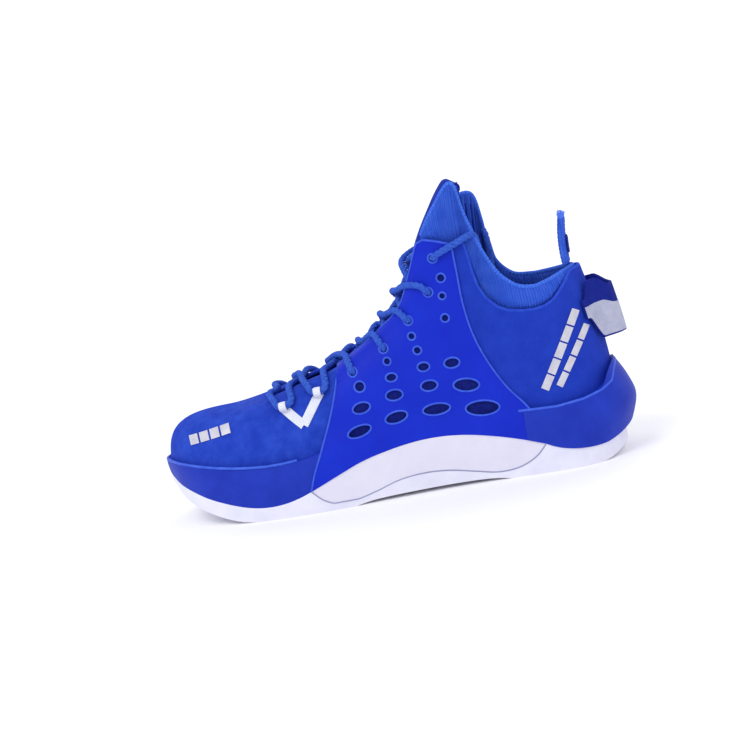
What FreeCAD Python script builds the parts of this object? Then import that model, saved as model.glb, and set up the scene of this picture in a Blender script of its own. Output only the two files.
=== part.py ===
"""Basketball high top, left shoe, in millimetres.

Toe towards -X, heel towards +X, outer (lateral) side towards -Y, +Z up, standing on Z = 0.
One skin surface follows the foot from the sole edge up to the collar. Every layer of the upper and
every wall of the sole is a shell between two offsets of that skin, trimmed by an outline drawn in
side view. The sole plates are plan outlines trimmed by side profiles.
"""
import FreeCAD
import Part
import math
import os

Vector = FreeCAD.Vector
os.makedirs("parts", exist_ok=True)

# ---------------------------------------------------------------- driving dimensions
FABRIC = 1.8            # outer textile, from the skin inwards
GAP = 0.12              # between glued layers
STIFF_IN = -3.3         # toe puff, heel counter and collar knit, inner face
STIFF_OUT = -1.95
BOOTIE_IN = -6.0        # knit bootie
BOOTIE_OUT = -3.6
OVERLAY = 1.0           # moulded film over the quarters
FILM_GAP = 0.24         # under the film, which is moulded over seams
SKIRT = 4.2             # extra thickness of that film where it runs over the sole
TRIM = 0.35             # heat transfer strips
BOARD = 1.5             # strobel board
SOCKLINER = 5.0
LACE_R = 2.2
EYELET_R = 2.75
LACE_OVER = 3.45        # lace centre above the skin, over the film
LACE_UNDER = -4.15      # lace centre below the skin, under the textile
TREAD = 1.6
REACH = 90.0            # half length of the side view cutters
HEEL_SEAM = 0.02        # half of the back seam, in stations

# ---------------------------------------------------------------- the skin of the foot
# Each station is one rib: foot of the rib, top of the rib, and how far the rib is an arch (1, over the
# forefoot) rather than a wall (0, round the ankle). Both lists run from the toe to the heel.
TOE = ((-147.6, 7, 19), (-78, 0, 66.5), 1)
HEEL = ((138.5, 0, 8), (127, 0, 118.5), 0)
LATERAL = [
    ((-143, -8, 17.5), (-77.5, -1.5, 66.5), 1), ((-134.5, -23, 14), (-76.5, -3, 67), 1),
    ((-120, -36, 8), (-74, -5, 68.2), 1), ((-100, -45, 3), (-69, -7.5, 70), 1),
    ((-80, -48.5, 2), (-61, -10, 72.6), 1), ((-60, -49, 2), (-50, -12.5, 76.2), 1),
    ((-40, -47, 2), (-33, -15, 80.8), 1), ((-20, -43.5, 1.5), (-15, -17, 90), 0.95),
    ((0, -40, 1.5), (0, -18.5, 100), 0.85), ((16, -37.5, 1.5), (15, -21, 113), 0.7),
    ((28, -36.2, 1.5), (25, -22.5, 134), 0.5), ((38, -35.6, 1.5), (33, -24.5, 153), 0.3),
    ((48, -35.2, 1.5), (44, -26.5, 169), 0.15), ((56, -35.2, 1.5), (57, -28, 182), 0.05),
    ((64, -35.4, 1.5), (62.5, -30, 160), 0), ((72, -35.8, 1.5), (69, -32, 139), 0),
    ((80, -36.2, 1.5), (77, -33.5, 123.5), 0), ((90, -36.5, 1.5), (87, -34, 114.5), 0),
    ((102, -36.4, 1.5), (98, -32.5, 112), 0), ((114, -34.2, 2), (107.5, -28, 113.5), 0),
    ((125, -28, 3.5), (115, -21.5, 115.5), 0), ((133, -18.5, 6), (121.5, -13, 117.2), 0),
    ((137.5, -8, 7.5), (125.7, -6, 118.2), 0)]
MEDIAL = [
    ((-143, 21, 17.5), (-77.5, 1.5, 66.5), 1), ((-134.5, 33, 14), (-76.5, 3, 67), 1),
    ((-120, 42, 8), (-74, 5, 68.2), 1), ((-100, 48, 3), (-69, 7.5, 70), 1),
    ((-80, 49, 2), (-61, 10, 72.6), 1), ((-60, 46.5, 2), (-50, 12.5, 76.2), 1),
    ((-40, 42, 2), (-33, 15, 80.8), 1), ((-20, 38, 1.5), (-15, 17, 90), 0.95),
    ((0, 34.8, 1.5), (0, 18.5, 100), 0.85), ((16, 33.2, 1.5), (15, 21, 113), 0.7),
    ((28, 32.8, 1.5), (25, 22.5, 134), 0.5), ((38, 33, 1.5), (33, 24.5, 150), 0.3),
    ((48, 33.4, 1.5), (46, 26, 163), 0.15), ((57, 33.8, 1.5), (60, 27, 170.5), 0.05),
    ((65, 34.2, 1.5), (67.5, 29, 166.5), 0), ((72, 34.6, 1.5), (70, 31, 144.5), 0),
    ((80, 35, 1.5), (74.5, 33, 125.5), 0), ((90, 35.7, 1.5), (85, 34, 114.8), 0),
    ((102, 35.9, 1.5), (98, 32.5, 113), 0), ((114, 34, 2), (107.5, 28, 114), 0),
    ((125, 28, 3.5), (115, 21.5, 115.5), 0), ((133, 18.5, 6), (121.5, 13, 117.2), 0),
    ((137.5, 8, 7.5), (125.7, 6, 118.2), 0)]
ARCH_POWER = 2.35       # fullness of the toe box
WALL_POWER = 2.2        # how late the ankle wall leans in
BLUNT_POWER = 4.4       # squareness of the very tip of the toe
BLUNT_WIDTH = 2.2       # stations either side that share it
ROWS = 20               # levels from the sole to the collar
STEP = 0.5              # stations between columns

STATIONS = [HEEL] + LATERAL[::-1] + [TOE] + MEDIAL
COUNT = len(STATIONS)
TOE_AT = len(LATERAL) + 1


def smooth(a, b, x):
    """0 before a, 1 after b, with no kink."""
    t = min(1.0, max(0.0, (x - a) / (b - a)))
    return t * t * (3 - 2 * t)


def table(points, x):
    """Straight interpolation in a short list of (x, value)."""
    if x <= points[0][0]:
        return points[0][1]
    for (x0, v0), (x1, v1) in zip(points, points[1:]):
        if x <= x1:
            return v0 + (v1 - v0) * (x - x0) / (x1 - x0)
    return points[-1][1]


def rib_values(u):
    """Foot, top and arch share of the rib at station u, smooth between the listed ones."""
    i = int(math.floor(u))
    f = u - i
    picked = [STATIONS[(i + k) % COUNT] for k in (-1, 0, 1, 2)]
    weights = (-0.5 * f + f * f - 0.5 * f ** 3, 1 - 2.5 * f * f + 1.5 * f ** 3,
               0.5 * f + 2 * f * f - 1.5 * f ** 3, -0.5 * f * f + 0.5 * f ** 3)
    foot = Vector(*[sum(w * s[0][k] for w, s in zip(weights, picked)) for k in range(3)])
    top = Vector(*[sum(w * s[1][k] for w, s in zip(weights, picked)) for k in range(3)])
    arch = sum(w * s[2] for w, s in zip(weights, picked))
    return foot, top, min(1.0, max(0.0, arch))


def skin(u, t):
    """Point of the skin at station u, a share t of the way from the sole to the collar."""
    foot, top, arch = rib_values(u)
    angle = t * math.pi / 2
    c, s = max(0.0, math.cos(angle)), math.sin(angle)
    out = arch * c ** (2 / ARCH_POWER) + (1 - arch) * (1 - t ** WALL_POWER)
    up = arch * s ** (2 / ARCH_POWER) + (1 - arch) * t
    blunt = math.exp(-((u - TOE_AT) / BLUNT_WIDTH) ** 2)
    reach = (c ** BLUNT_POWER + s ** BLUNT_POWER) ** (-1 / BLUNT_POWER)
    out += blunt * (c * reach - out)
    up += blunt * (s * reach - up)
    return Vector(top.x + (foot.x - top.x) * out, top.y + (foot.y - top.y) * out,
                  foot.z + (top.z - foot.z) * up)


def normal(u, t):
    """Outward direction of the skin."""
    high, low = min(0.99, t + 0.03), max(0.01, min(0.95, t - 0.03))
    along = skin(u + 0.06, t) - skin(u - 0.06, t)
    n = (skin(u, high) - skin(u, low)).cross(along)
    n.normalize()
    return n


def offset_point(u, t, depth):
    """The skin moved out by depth, a number or a function of the skin point and the station."""
    p = skin(u, t)
    d = depth(p, u) if callable(depth) else depth
    return p + normal(u, t) * d


def block(inner, outer):
    """Closed solid between two grids of points of the same size."""
    sheets = []
    for grid in (inner, outer):
        surface = Part.BSplineSurface()
        surface.interpolate(grid)
        sheets.append(surface)
    faces = [sheet.toShape() for sheet in sheets]
    u0, u1, v0, v1 = sheets[0].bounds()
    a0, a1, b0, b1 = sheets[1].bounds()
    borders = [(sheets[0].uIso(u0), sheets[1].uIso(a0)), (sheets[0].uIso(u1), sheets[1].uIso(a1)),
               (sheets[0].vIso(v0), sheets[1].vIso(b0)), (sheets[0].vIso(v1), sheets[1].vIso(b1))]
    faces += [Part.makeRuledSurface(a.toShape(), b.toShape()) for a, b in borders]
    shell = Part.Compound(faces)
    shell.sewShape()
    closed = shell.Shells[0]
    solid = Part.Solid(closed)
    return solid if solid.Volume > 0 else Part.Solid(closed.reversed())


def layer(depth_in, depth_out, first, last, crown=1.0, rows=ROWS, sole=0.0):
    """Shell between two offsets of the skin, from station first to station last, from the share sole of
    each rib up to the share crown, a number or a function of the station."""
    count = max(3, int(math.ceil((last - first) / STEP)))
    columns = [first + (last - first) * k / count for k in range(count + 1)]

    def shares(u):
        high = crown(u) if callable(crown) else crown
        return [sole + (high - sole) * k / rows for k in range(rows + 1)]

    inner = [[offset_point(u, t, depth_in) for t in shares(u)] for u in columns]
    outer = [[offset_point(u, t, depth_out) for t in shares(u)] for u in columns]
    return block(inner, outer)


def find(x, z, side):
    """Station and share of the skin point seen at (x, z) from the side given, -1 lateral or 1 medial."""
    best = None
    for k in range(2 * TOE_AT - 1):
        u = 0.5 + k * 0.5
        u = u if side < 0 else COUNT - u
        for j in range(1, 20):
            p = skin(u, j / 20)
            d = (p.x - x) ** 2 + (p.z - z) ** 2
            if best is None or d < best[0]:
                best = (d, u, j / 20)
    d, u, t = best
    for _ in range(8):
        p = skin(u, t)
        pu = (skin(u + 0.01, t) - p) * 100
        pt = (skin(u, min(1, t + 0.005)) - skin(u, t - 0.005)) * 100
        det = pu.x * pt.z - pu.z * pt.x
        ex, ez = x - p.x, z - p.z
        u += max(-0.3, min(0.3, (ex * pt.z - ez * pt.x) / det))
        t = min(0.99, max(0.01, t + max(-0.05, min(0.05, (pu.x * ez - pu.z * ex) / det))))
    return u, t


# ---------------------------------------------------------------- outlines
def curve(points, place):
    """One edge through points: straight for two, smooth for more."""
    vectors = [place(p) for p in points]
    if len(vectors) == 2:
        return Part.makeLine(*vectors)
    spline = Part.BSplineCurve()
    spline.interpolate(vectors)
    return spline.toShape()


def side_cut(runs, near=-REACH, far=REACH):
    """Prism along Y of a closed side view outline, given as runs of (x, z) points that join end to end."""
    edges = [curve(run, lambda p: Vector(p[0], near, p[1])) for run in runs]
    return Part.Face(Part.Wire(edges)).extrude(Vector(0, far - near, 0))


def loop_runs(points):
    """Straight closed outline as runs."""
    return [[a, b] for a, b in zip(points, points[1:] + points[:1])]


def plan_prism(points, low, high):
    """Prism along Z of a smooth closed plan outline."""
    spline = Part.BSplineCurve()
    spline.interpolate([Vector(x, y, low) for x, y in points], PeriodicFlag=True)
    return Part.Face(Part.Wire(spline.toShape())).extrude(Vector(0, 0, high - low))


def plan_points(depth, share=0.16):
    """The skin's plan outline near the sole, moved out by depth."""
    found = [offset_point(u, share, depth) for u in range(COUNT)]
    return [(p.x, p.y) for p in found]


def punch(x, z, half_long, half_high, tilt, side):
    """Elliptical punch along Y through one side of the upper."""
    ellipse = Part.Ellipse(Vector(0, 0, 0), half_long + 0.01, half_high)
    face = Part.Face(Part.Wire(ellipse.toShape()))
    face.rotate(Vector(0, 0, 0), Vector(0, 0, 1), tilt)
    face.rotate(Vector(0, 0, 0), Vector(1, 0, 0), 90)
    face.translate(Vector(x, 0, z))
    return face.extrude(Vector(0, side * REACH, 0))


def lift(points, dz):
    return [(x, z + dz) for x, z in points]


# ---------------------------------------------------------------- side view lines
RIM_TOP = [(-160, 38.5), (-147, 37.8), (-140, 37.5), (-130, 36.5), (-120, 35.2), (-110, 34), (-100, 33),
           (-90, 32.4), (-80, 32), (-70, 32.4), (-60, 33.4), (-46, 36.5)]
RIM_LOW = [(-160, 35), (-146, 28), (-140, 24.8), (-130, 20.4), (-120, 16.4), (-110, 13.2), (-100, 10.5), (-90, 8.6),
           (-80, 8.2), (-70, 9.4), (-56, 13.6)]
RIM_END = [(-56, 13.6), (-53, 22), (-46, 36.5)]
OVERLAY_FRONT = [(-56, 13.6), (-53, 22), (-46, 36.5), (-40, 49.5), (-34, 64.5), (-30.5, 75), (-28.5, 86)]
OVERLAY_THROAT = [(-28.5, 86), (-12, 102), (4, 116), (16, 138), (26, 151.5)]
OVERLAY_TOP = [(26, 151.5), (36, 151.6), (44, 149.6), (52.5, 146.5)]
OVERLAY_BACK = [(52.5, 146.5), (53, 130), (53.6, 110), (57, 89), (64.5, 69), (73, 54), (82, 42.5), (88, 31.5), (90, 18)]
PLATE_TOP = [(-56, 13.6), (-40, 20), (-25, 25.7), (-8, 29.7), (15, 32.5), (38, 31.6), (60, 27.3), (75, 23.2), (90, 18)]
PLATE_LOW = [(-56, 13.6), (-50, 7.2), (-42, 3.4), (-30, 3.7), (-18, 6.2), (-3, 10.3), (14, 11.8), (30, 10.4),
             (45, 7.2), (60, 4.6), (74, 6.4), (84, 11.6), (90, 18)]
CUP_LOW = [(90, 18), (100, 13.8), (110, 11.8), (120, 11), (128, 11.4), (134, 13), (140, 15.6), (146, 19.5), (156, 28)]
CUP_FRONT = [(79, 40.2), (79, 18.5)]
CUP_TOP = [(84, 40), (100, 39.5), (115, 41), (124, 43.5), (130, 47), (133, 52), (138, 58), (156, 58.5)]
COLLAR_LINE = [(59.5, 147.2), (60.8, 139), (62, 129), (64, 119), (68, 111), (74, 104.8), (80, 101.7), (88, 100.2),
               (95, 99.7), (102, 100.5), (108, 103), (113, 107.5), (117, 112), (121, 117.5), (128, 126)]
COLLAR_LOW = [(10, 148.4), (40, 148.2), (49, 142), (54, 126), (57, 112), (62, 102), (72, 95), (86, 91.5), (100, 91.5),
              (112, 96), (122, 104), (150, 108)]
FOOTBED = [(-160, 34), (-140, 28), (-125, 22.5), (-110, 19.5), (-90, 18), (-60, 18), (-30, 19.5), (0, 22), (40, 25),
           (80, 26), (120, 27), (160, 28)]
GROUND_FRONT = [(-160, 35), (-148, 25), (-140, 18), (-130, 11.5), (-120, 7), (-110, 3.4), (-100, 0.9), (-92, 0)]
GROUND_BACK = [(118, 0), (126, 0.6), (134, 3.2), (142, 8), (156, 20)]
ARCH_RISE = [(-30, 0), (-22, 1.4), (-8, 2.2), (20, 2.4), (44, 2.2), (58, 1.3), (66, 0)]
LACE_ZONE = [(-36, 64), (-20, 71), (1, 82), (22, 96), (40, 112), (49, 130), (49, 147.5), (10, 147.5), (-36, 110)]
VENTS = [(-17, 70.0, 3.3, 3.2, 0), (-18, 57.5, 5.5, 3.3, 8), (-21.5, 44, 7.5, 3.3, 12), (2, 82.2, 2.3, 2.3, 0),
         (3, 72.5, 3.5, 2.6, 0), (3, 61.8, 5.3, 3.3, 0), (2, 48.4, 7, 3.5, 8), (19.5, 95, 2.3, 2.3, 0),
         (21.5, 86.2, 2.5, 2.5, 0), (23.5, 75.8, 3.8, 2.8, 0), (25, 64, 5.2, 3.3, 0), (27, 49.1, 8.5, 3.5, 0),
         (43, 127.6, 2.7, 2.7, 0), (42, 116.7, 2.2, 2.2, 0), (41.5, 103.2, 2.5, 2.5, 0), (41, 75.6, 4.8, 3.2, 0),
         (47.5, 60.8, 8, 4, -8), (55, 45.4, 10.5, 4.5, -5)]
EYELETS = [(-20, 78.8), (1, 89.8), (19, 104.5), (34, 120), (40, 140)]
LOOP_FRONT = (-65, 63.5)
LOOP_BACK = (-42.8, 69.2)
LOOP_ANCHOR = (-54.3, 53.2)

# ---------------------------------------------------------------- tongue line, over its top at the centre
TONGUE = [(-73, 64), (-60, 67.8), (-45, 71.6), (-30, 77), (-15, 87), (0, 99.2), (10, 109.6), (18, 121.5), (24, 134),
          (28, 146.2), (33, 156), (40, 167.5), (47, 178), (53, 185.2)]
FOLD_AT = 28.2          # x of the fold on the tongue line
FOLD_GAP = 1.0
TONGUE_THICK = 4.6
FLAP_THICK = 5.6
TONGUE_WIDTH = [(-73, 8), (-62, 11), (-40, 13.5), (-15, 15.5), (0, 16.2), (15, 17), (28, 17.5), (34, 18.4), (50, 18.6),
                (54, 15)]
TONGUE_DROOP = [(-73, 1.2), (-50, 3.5), (-30, 5.5), (-10, 8), (10, 9.5), (28, 10.5), (40, 11.5), (54, 12)]

# ---------------------------------------------------------------- sole wall thickness
RIM_EDGE = [(-150, 0.9), (-138, 2.2), (-120, 4.0), (-100, 5.0), (-50, 5.0)]
RIM_FULL = [(-148, 2.8), (-142, 3.4), (-122, 4.6), (-100, 5.0)]
OUTSOLE_EDGE = [(-146, 0.8), (-136, 2.2), (-118, 4.0), (-100, 4.9), (-50, 5.0), (80, 4.8), (105, 4.6), (122, 3.2),
                (132, 1.8), (138, 1.4)]
BACK_BULGE = [(6, 1.6), (12, 2.8), (16, 4.6), (21, 7.4), (26, 9.6), (33, 11.5), (39, 10.4), (48, 7.2), (54, 4.4),
              (60, 1.6)]
SIDE_BULGE = [(0, 4.6), (12, 5.0), (22, 5.3), (30, 5.1), (38, 4.2), (46, 3.0), (60, 1.5)]
PULL_OUT = [(0, 13), (0.4, 12.9), (0.75, 11.4), (1.05, 8), (1.3, 4.4), (1.55, 2.3)]


def rim_depth(p, u):
    """Front wall: thin at its lower edge round the toe, full at its top."""
    low, top = table(RIM_LOW, p.x), table(RIM_TOP, p.x)
    at_edge, full = table(RIM_EDGE, p.x), table(RIM_FULL, p.x)
    return at_edge + (full - at_edge) * smooth(low - 3, top, p.z)


def cup_depth(p, u):
    """Heel cup: even along the sides, bulging at the back."""
    back = smooth(104, 138, p.x)
    return table(SIDE_BULGE, p.z) * (1 - back) + table(BACK_BULGE, p.z) * back


def overlay_depth(p, u):
    """The moulded film thickens where it comes down over the sole."""
    return FILM_GAP + OVERLAY + (SKIRT - 0.6 * smooth(-40, 20, p.x)) * (1 - smooth(28, 52, p.z))


def plate_depth(p, u):
    return 5.0 - 0.5 * smooth(-40, 20, p.x)


def pull_depth(p, u):
    """Pull loop: close to the heel at both ends, a finger's room in the middle."""
    return table(PULL_OUT, abs(u))


def lining_crown(u):
    return table([(16.5, 1.0), (18, 0.9), (24, 0.93)], min(u, COUNT - u))


SHAPES = {}


def keep(name, shape):
    """Store a finished node and report it."""
    if shape.ShapeType == "Compound" and len(shape.Solids) == 1:
        shape = shape.Solids[0]
    SHAPES[name] = shape
    box = shape.BoundBox if len(shape.Solids) else FreeCAD.BoundBox(0, 0, 0, 0, 0, 0)
    print("%-20s %2d %s %9.1f  x %6.1f %6.1f y %6.1f %6.1f z %6.1f %6.1f"
          % (name, len(shape.Solids), shape.isValid(), shape.Volume, box.XMin, box.XMax, box.YMin, box.YMax,
             box.ZMin, box.ZMax), flush=True)


def above(line, top=260):
    """Everything above a side view line."""
    (x0, z0), (x1, z1) = line[0], line[-1]
    return side_cut([line, [(x1, z1), (x1, top)], [(x1, top), (x0, top)], [(x0, top), (x0, z0)]])


def below(line, bottom=-20):
    (x0, z0), (x1, z1) = line[0], line[-1]
    return side_cut([line, [(x1, z1), (x1, bottom)], [(x1, bottom), (x0, bottom)], [(x0, bottom), (x0, z0)]])


# ---------------------------------------------------------------- sole
overlay_prism = side_cut([OVERLAY_FRONT, OVERLAY_THROAT, OVERLAY_TOP, OVERLAY_BACK, PLATE_TOP[::-1]])

rim = layer(GAP, rim_depth, 16.0, 32.0, crown=0.5, rows=10)
rim_cut = side_cut([RIM_LOW, RIM_END, RIM_TOP[::-1], [RIM_TOP[0], RIM_LOW[0]]])
keep("forefoot_rim", rim.common(rim_cut).cut(overlay_prism))

cup = layer(GAP, cup_depth, -8.5, 8.5, crown=0.6, rows=10)
cup_cut = side_cut([CUP_LOW, [CUP_LOW[-1], CUP_TOP[-1]], CUP_TOP[::-1], [CUP_TOP[0], CUP_FRONT[0]], CUP_FRONT,
                    [CUP_FRONT[-1], CUP_LOW[0]]])
plate_cut = side_cut([PLATE_LOW, PLATE_TOP[::-1]])
cup = cup.common(cup_cut).cut(plate_cut)
for side, first, last in (("lateral", 5.0, 20.0), ("medial", 28.0, 43.0)):
    plate = layer(GAP, plate_depth, first, last, crown=0.5, rows=8)
    keep("arch_plate_" + side, plate.common(plate_cut))

tread_plan = plan_prism(plan_points(lambda p, u: table(OUTSOLE_EDGE, p.x), 0.03), -5, 45)
tread_side = side_cut([GROUND_FRONT, [(-92, 0), (-30, 0)], ARCH_RISE, [(66, 0), (118, 0)], GROUND_BACK,
                       [GROUND_BACK[-1], CUP_LOW[-1]], CUP_LOW[::-1], PLATE_LOW[::-1], RIM_LOW[::-1]])
below_sole = side_cut([RIM_LOW, PLATE_LOW, CUP_LOW, [CUP_LOW[-1], (156, -20)], [(156, -20), (-160, -20)],
                       [(-160, -20), RIM_LOW[0]]])
outsole = tread_plan.common(tread_side)
grooves = []
for x in (-86, -76, -66, -56, -46, -36, 72, 82, 92, 102, 112):
    half = 3.4 if x < 0 else 2.4
    zigzag = [(x + (3.5 if k % 2 else -3.5), (k - 4.5) * 2 * half) for k in range(10)]
    path = [Vector(a, b, -1) for a, b in zigzag] + [Vector(a + 2.2, b, -1) for a, b in zigzag[::-1]]
    grooves.append(Part.Face(Part.makePolygon(path + path[:1])).extrude(Vector(0, 0, 1 + TREAD)))
keep("outsole", outsole.cut(Part.Compound(grooves)))

core_plan = plan_prism(plan_points(-0.35, 0.15), 0, 45)
core = core_plan.common(below(FOOTBED)).cut(below_sole)
shank = Part.makeBox(104, 34, 1.2, Vector(-42, -17, 15.2))
insert = Part.makeCylinder(17, 5, Vector(108, 0, 18.2))
keep("midsole_core", core.cut(shank).cut(insert))
keep("shank_plate", shank)
keep("heel_insert", insert)
board_plan = plan_prism(plan_points(-2.1, 0.2), 0, 60)
keep("strobel_board", board_plan.common(above(lift(FOOTBED, 0.05))).common(below(lift(FOOTBED, BOARD))))
liner_plan = plan_prism(plan_points(-6.6, 0.28), 0, 60)
keep("sockliner", liner_plan.common(above(lift(FOOTBED, BOARD + 0.15))).common(
    below(lift(FOOTBED, BOARD + SOCKLINER))))

# ---------------------------------------------------------------- upper
over_board = above(lift(FOOTBED, 0.15))
over_liner = above(lift(FOOTBED, BOARD + 0.15))
quarter_top = side_cut([OVERLAY_TOP, [(52.5, 146.5), (59.5, 147.2)], COLLAR_LINE, [(128, 126), (160, 126)],
                        [(160, 126), (160, 0)], [(160, 0), (-160, 0)], [(-160, 0), (-160, 151.5)],
                        [(-160, 151.5), (26, 151.5)]])
eyelet_punch = {}
for side, sign in (("lateral", -1), ("medial", 1)):
    eyelet_punch[side] = Part.Compound([punch(x, z, EYELET_R, EYELET_R, 0, sign) for x, z in EYELETS])
keep("vamp", layer(-FABRIC, 0, 16.01, 31.99).common(over_board))
quarters = (("lateral", HEEL_SEAM, 16.0), ("medial", 32.0, COUNT - HEEL_SEAM))
for side, first, last in quarters:
    quarter = layer(-FABRIC, 0, first, last).common(over_board).common(quarter_top)
    keep("quarter_" + side, quarter.cut(eyelet_punch[side]))
for side, first, last, sign in (("lateral", 7.0, 20.4, -1), ("medial", 28.1, 41.6, 1)):
    film = layer(FILM_GAP, overlay_depth, first, last).common(overlay_prism)
    vents = Part.Compound([punch(x, z, a, b, tilt, sign) for x, z, a, b, tilt in VENTS])
    cup = cup.cut(film)
    keep("overlay_" + side, film.cut(vents).cut(eyelet_punch[side]))
keep("heel_cup", cup)
knit = layer(STIFF_IN, STIFF_OUT, -13.0, 13.0).common(above(COLLAR_LOW))
keep("collar_knit", knit)
lining = layer(BOOTIE_IN, BOOTIE_OUT, HEEL_SEAM, COUNT - HEEL_SEAM, crown=lining_crown).common(over_liner)
keep("bootie_lining", lining.cut(side_cut(loop_runs(LACE_ZONE))))
puff_cut = side_cut(loop_runs([(-170, 20), (-108, 20), (-104, 40), (-112, 90), (-170, 90)]))
keep("toe_puff", layer(STIFF_IN, STIFF_OUT, 19.0, 29.0, crown=0.85).common(puff_cut).common(over_liner))
counter_cut = side_cut(loop_runs([(160, 20), (96, 20), (100, 55), (114, 84), (160, 84)]))
keep("heel_counter", layer(STIFF_IN, STIFF_OUT, -7.0, 7.0, crown=0.85).common(counter_cut).common(over_liner))


# ---------------------------------------------------------------- tongue
def tongue_line():
    """The tongue line as a smooth curve in the middle plane."""
    spline = Part.BSplineCurve()
    spline.interpolate([Vector(x, 0, z) for x, z in TONGUE])
    return spline


tongue_curve = tongue_line()


def tongue_param(x):
    """Parameter of the tongue line at x."""
    low, high = tongue_curve.FirstParameter, tongue_curve.LastParameter
    for _ in range(40):
        middle = (low + high) / 2
        if tongue_curve.value(middle).x < x:
            low = middle
        else:
            high = middle
    return low


def tongue_point(x, y, height):
    """Point at height over the tongue's upper face, where its line passes x, at the distance y across."""
    q = tongue_param(x)
    p = tongue_curve.value(q)
    d = tongue_curve.tangent(q)[0]
    up = Vector(-d.z, 0, d.x)
    width, droop = table(TONGUE_WIDTH, x), table(TONGUE_DROOP, x)
    v = y / width
    n = up + Vector(0, 2 * droop * v / width, 0)
    n.normalize()
    return p + Vector(0, y, 0) - up * (droop * v * v) + n * height


def tongue_block(x0, x1, thick, rows):
    columns = [k / 6 - 1 for k in range(13)]
    lines = [x0 + (x1 - x0) * k / rows for k in range(rows + 1)]
    outer = [[tongue_point(x, v * table(TONGUE_WIDTH, x), 0) for v in columns] for x in lines]
    inner = [[tongue_point(x, v * table(TONGUE_WIDTH, x), -thick) for v in columns] for x in lines]
    return block(outer, inner)


keep("tongue", tongue_block(TONGUE[0][0], FOLD_AT - 0.15, TONGUE_THICK, 16))
keep("tongue_flap", tongue_block(FOLD_AT + FOLD_GAP, TONGUE[-1][0], FLAP_THICK, 8))
fold = tongue_point(FOLD_AT + 0.4, 0, 0)
print("fold axis", fold)

# ---------------------------------------------------------------- heel
band_cut = side_cut(loop_runs([(100, 90.8), (160, 90.8), (160, 97), (147, 102), (139, 107.5), (100, 109)]))
band_low = side_cut(loop_runs([(100, 72), (160, 72), (160, 90.7), (100, 90.7)]))


def shift_depth(extra):
    return lambda p, u: pull_depth(p, u) + extra


loop_band = layer(pull_depth, shift_depth(1.8), -1.55, 1.55, crown=0.97, sole=0.45, rows=12)
keep("pull_loop", loop_band.common(band_cut))
keep("pull_loop_band", loop_band.common(band_low))

anchor_cut = side_cut(loop_runs([(126.3, 86), (160, 86), (160, 98), (124.5, 98)]))
for side, first, last in (("lateral", 1.3, 2.6), ("medial", -2.6, -1.3)):
    tab = layer(GAP, lambda p, u: 1.1 - 0.6 * smooth(1.7, 2.6, abs(u)), first, last, crown=0.95, sole=0.5)
    keep("pull_anchor_" + side, tab.common(anchor_cut))

FLAP_LINE = [(120.6, 120.6), (120.0, 130), (120.4, 140), (121.8, 151.5)]
flap_curve = Part.BSplineCurve()
flap_curve.interpolate([Vector(x, 0, z) for x, z in FLAP_LINE])


def heel_flap(front, back, half, share0, share1, shrink):
    """Curved upright tab on the flap line, from front to back of it."""
    rows, columns = 8, 8
    low, high = flap_curve.FirstParameter, flap_curve.LastParameter
    q0, q1 = low + (high - low) * share0, low + (high - low) * share1
    grids = []
    for depth in (front, back):
        grid = []
        for k in range(rows + 1):
            q = q0 + (q1 - q0) * k / rows
            p = flap_curve.value(q)
            w = half - shrink * (k / rows) ** 2
            grid.append([Vector(p.x + depth - (w * (j / 4 - 1)) ** 2 / 34, w * (j / 4 - 1), p.z)
                         for j in range(columns + 1)])
        grids.append(grid)
    return block(grids[0], grids[1])


keep("achilles_flap", heel_flap(-1.7, 1.7, 10.5, 0, 1, 1.5))
keep("achilles_label", heel_flap(1.8, 2.8, 5.0, 0.22, 0.55, 0))


def bars(shapes, depth_in, depth_out, first, last, crown=1.0, sole=0.0, rows=ROWS):
    sheet = layer(depth_in, depth_out, first, last, crown=crown, sole=sole, rows=rows)
    return sheet.common(Part.Compound([side_cut(loop_runs(shape)) for shape in shapes]))


def slant_bar(x0, z0, x1, z1, width, parts, gap):
    """Row of straight segments from one point towards another."""
    found = []
    dx, dz = x1 - x0, z1 - z0
    size = math.hypot(dx, dz)
    nx, nz = -dz / size * width / 2, dx / size * width / 2
    for k in range(parts):
        a, b = (k + gap / 2) / parts, (k + 1 - gap / 2) / parts
        ends = [(x0 + dx * a, z0 + dz * a), (x0 + dx * b, z0 + dz * b)]
        found.append([(ends[0][0] + nx, ends[0][1] + nz), (ends[1][0] + nx, ends[1][1] + nz),
                      (ends[1][0] - nx, ends[1][1] - nz), (ends[0][0] - nx, ends[0][1] - nz)])
    return found


heel_marks = slant_bar(94, 50, 120.8, 94.5, 5.0, 5, 0.1) + slant_bar(103, 50.5, 126, 84, 4.2, 4, 0.11)
for side, first, last in (("lateral", 1.2, 8.0), ("medial", 40.0, 46.8)):
    keep("heel_reflector_" + side, bars(heel_marks, GAP, GAP + TRIM, first, last, crown=0.95, sole=0.2))
toe_marks = slant_bar(-130, 51, -101, 57, 5.5, 4, 0.18)
toe_sheet_cut = [side_cut(loop_runs(shape), near=-REACH, far=0) for shape in toe_marks]
toe_sheet = layer(GAP, GAP + TRIM, 16.0, 24.0, crown=0.95, sole=0.1)
keep("toe_reflector", toe_sheet.common(Part.Compound(toe_sheet_cut)))


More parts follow.
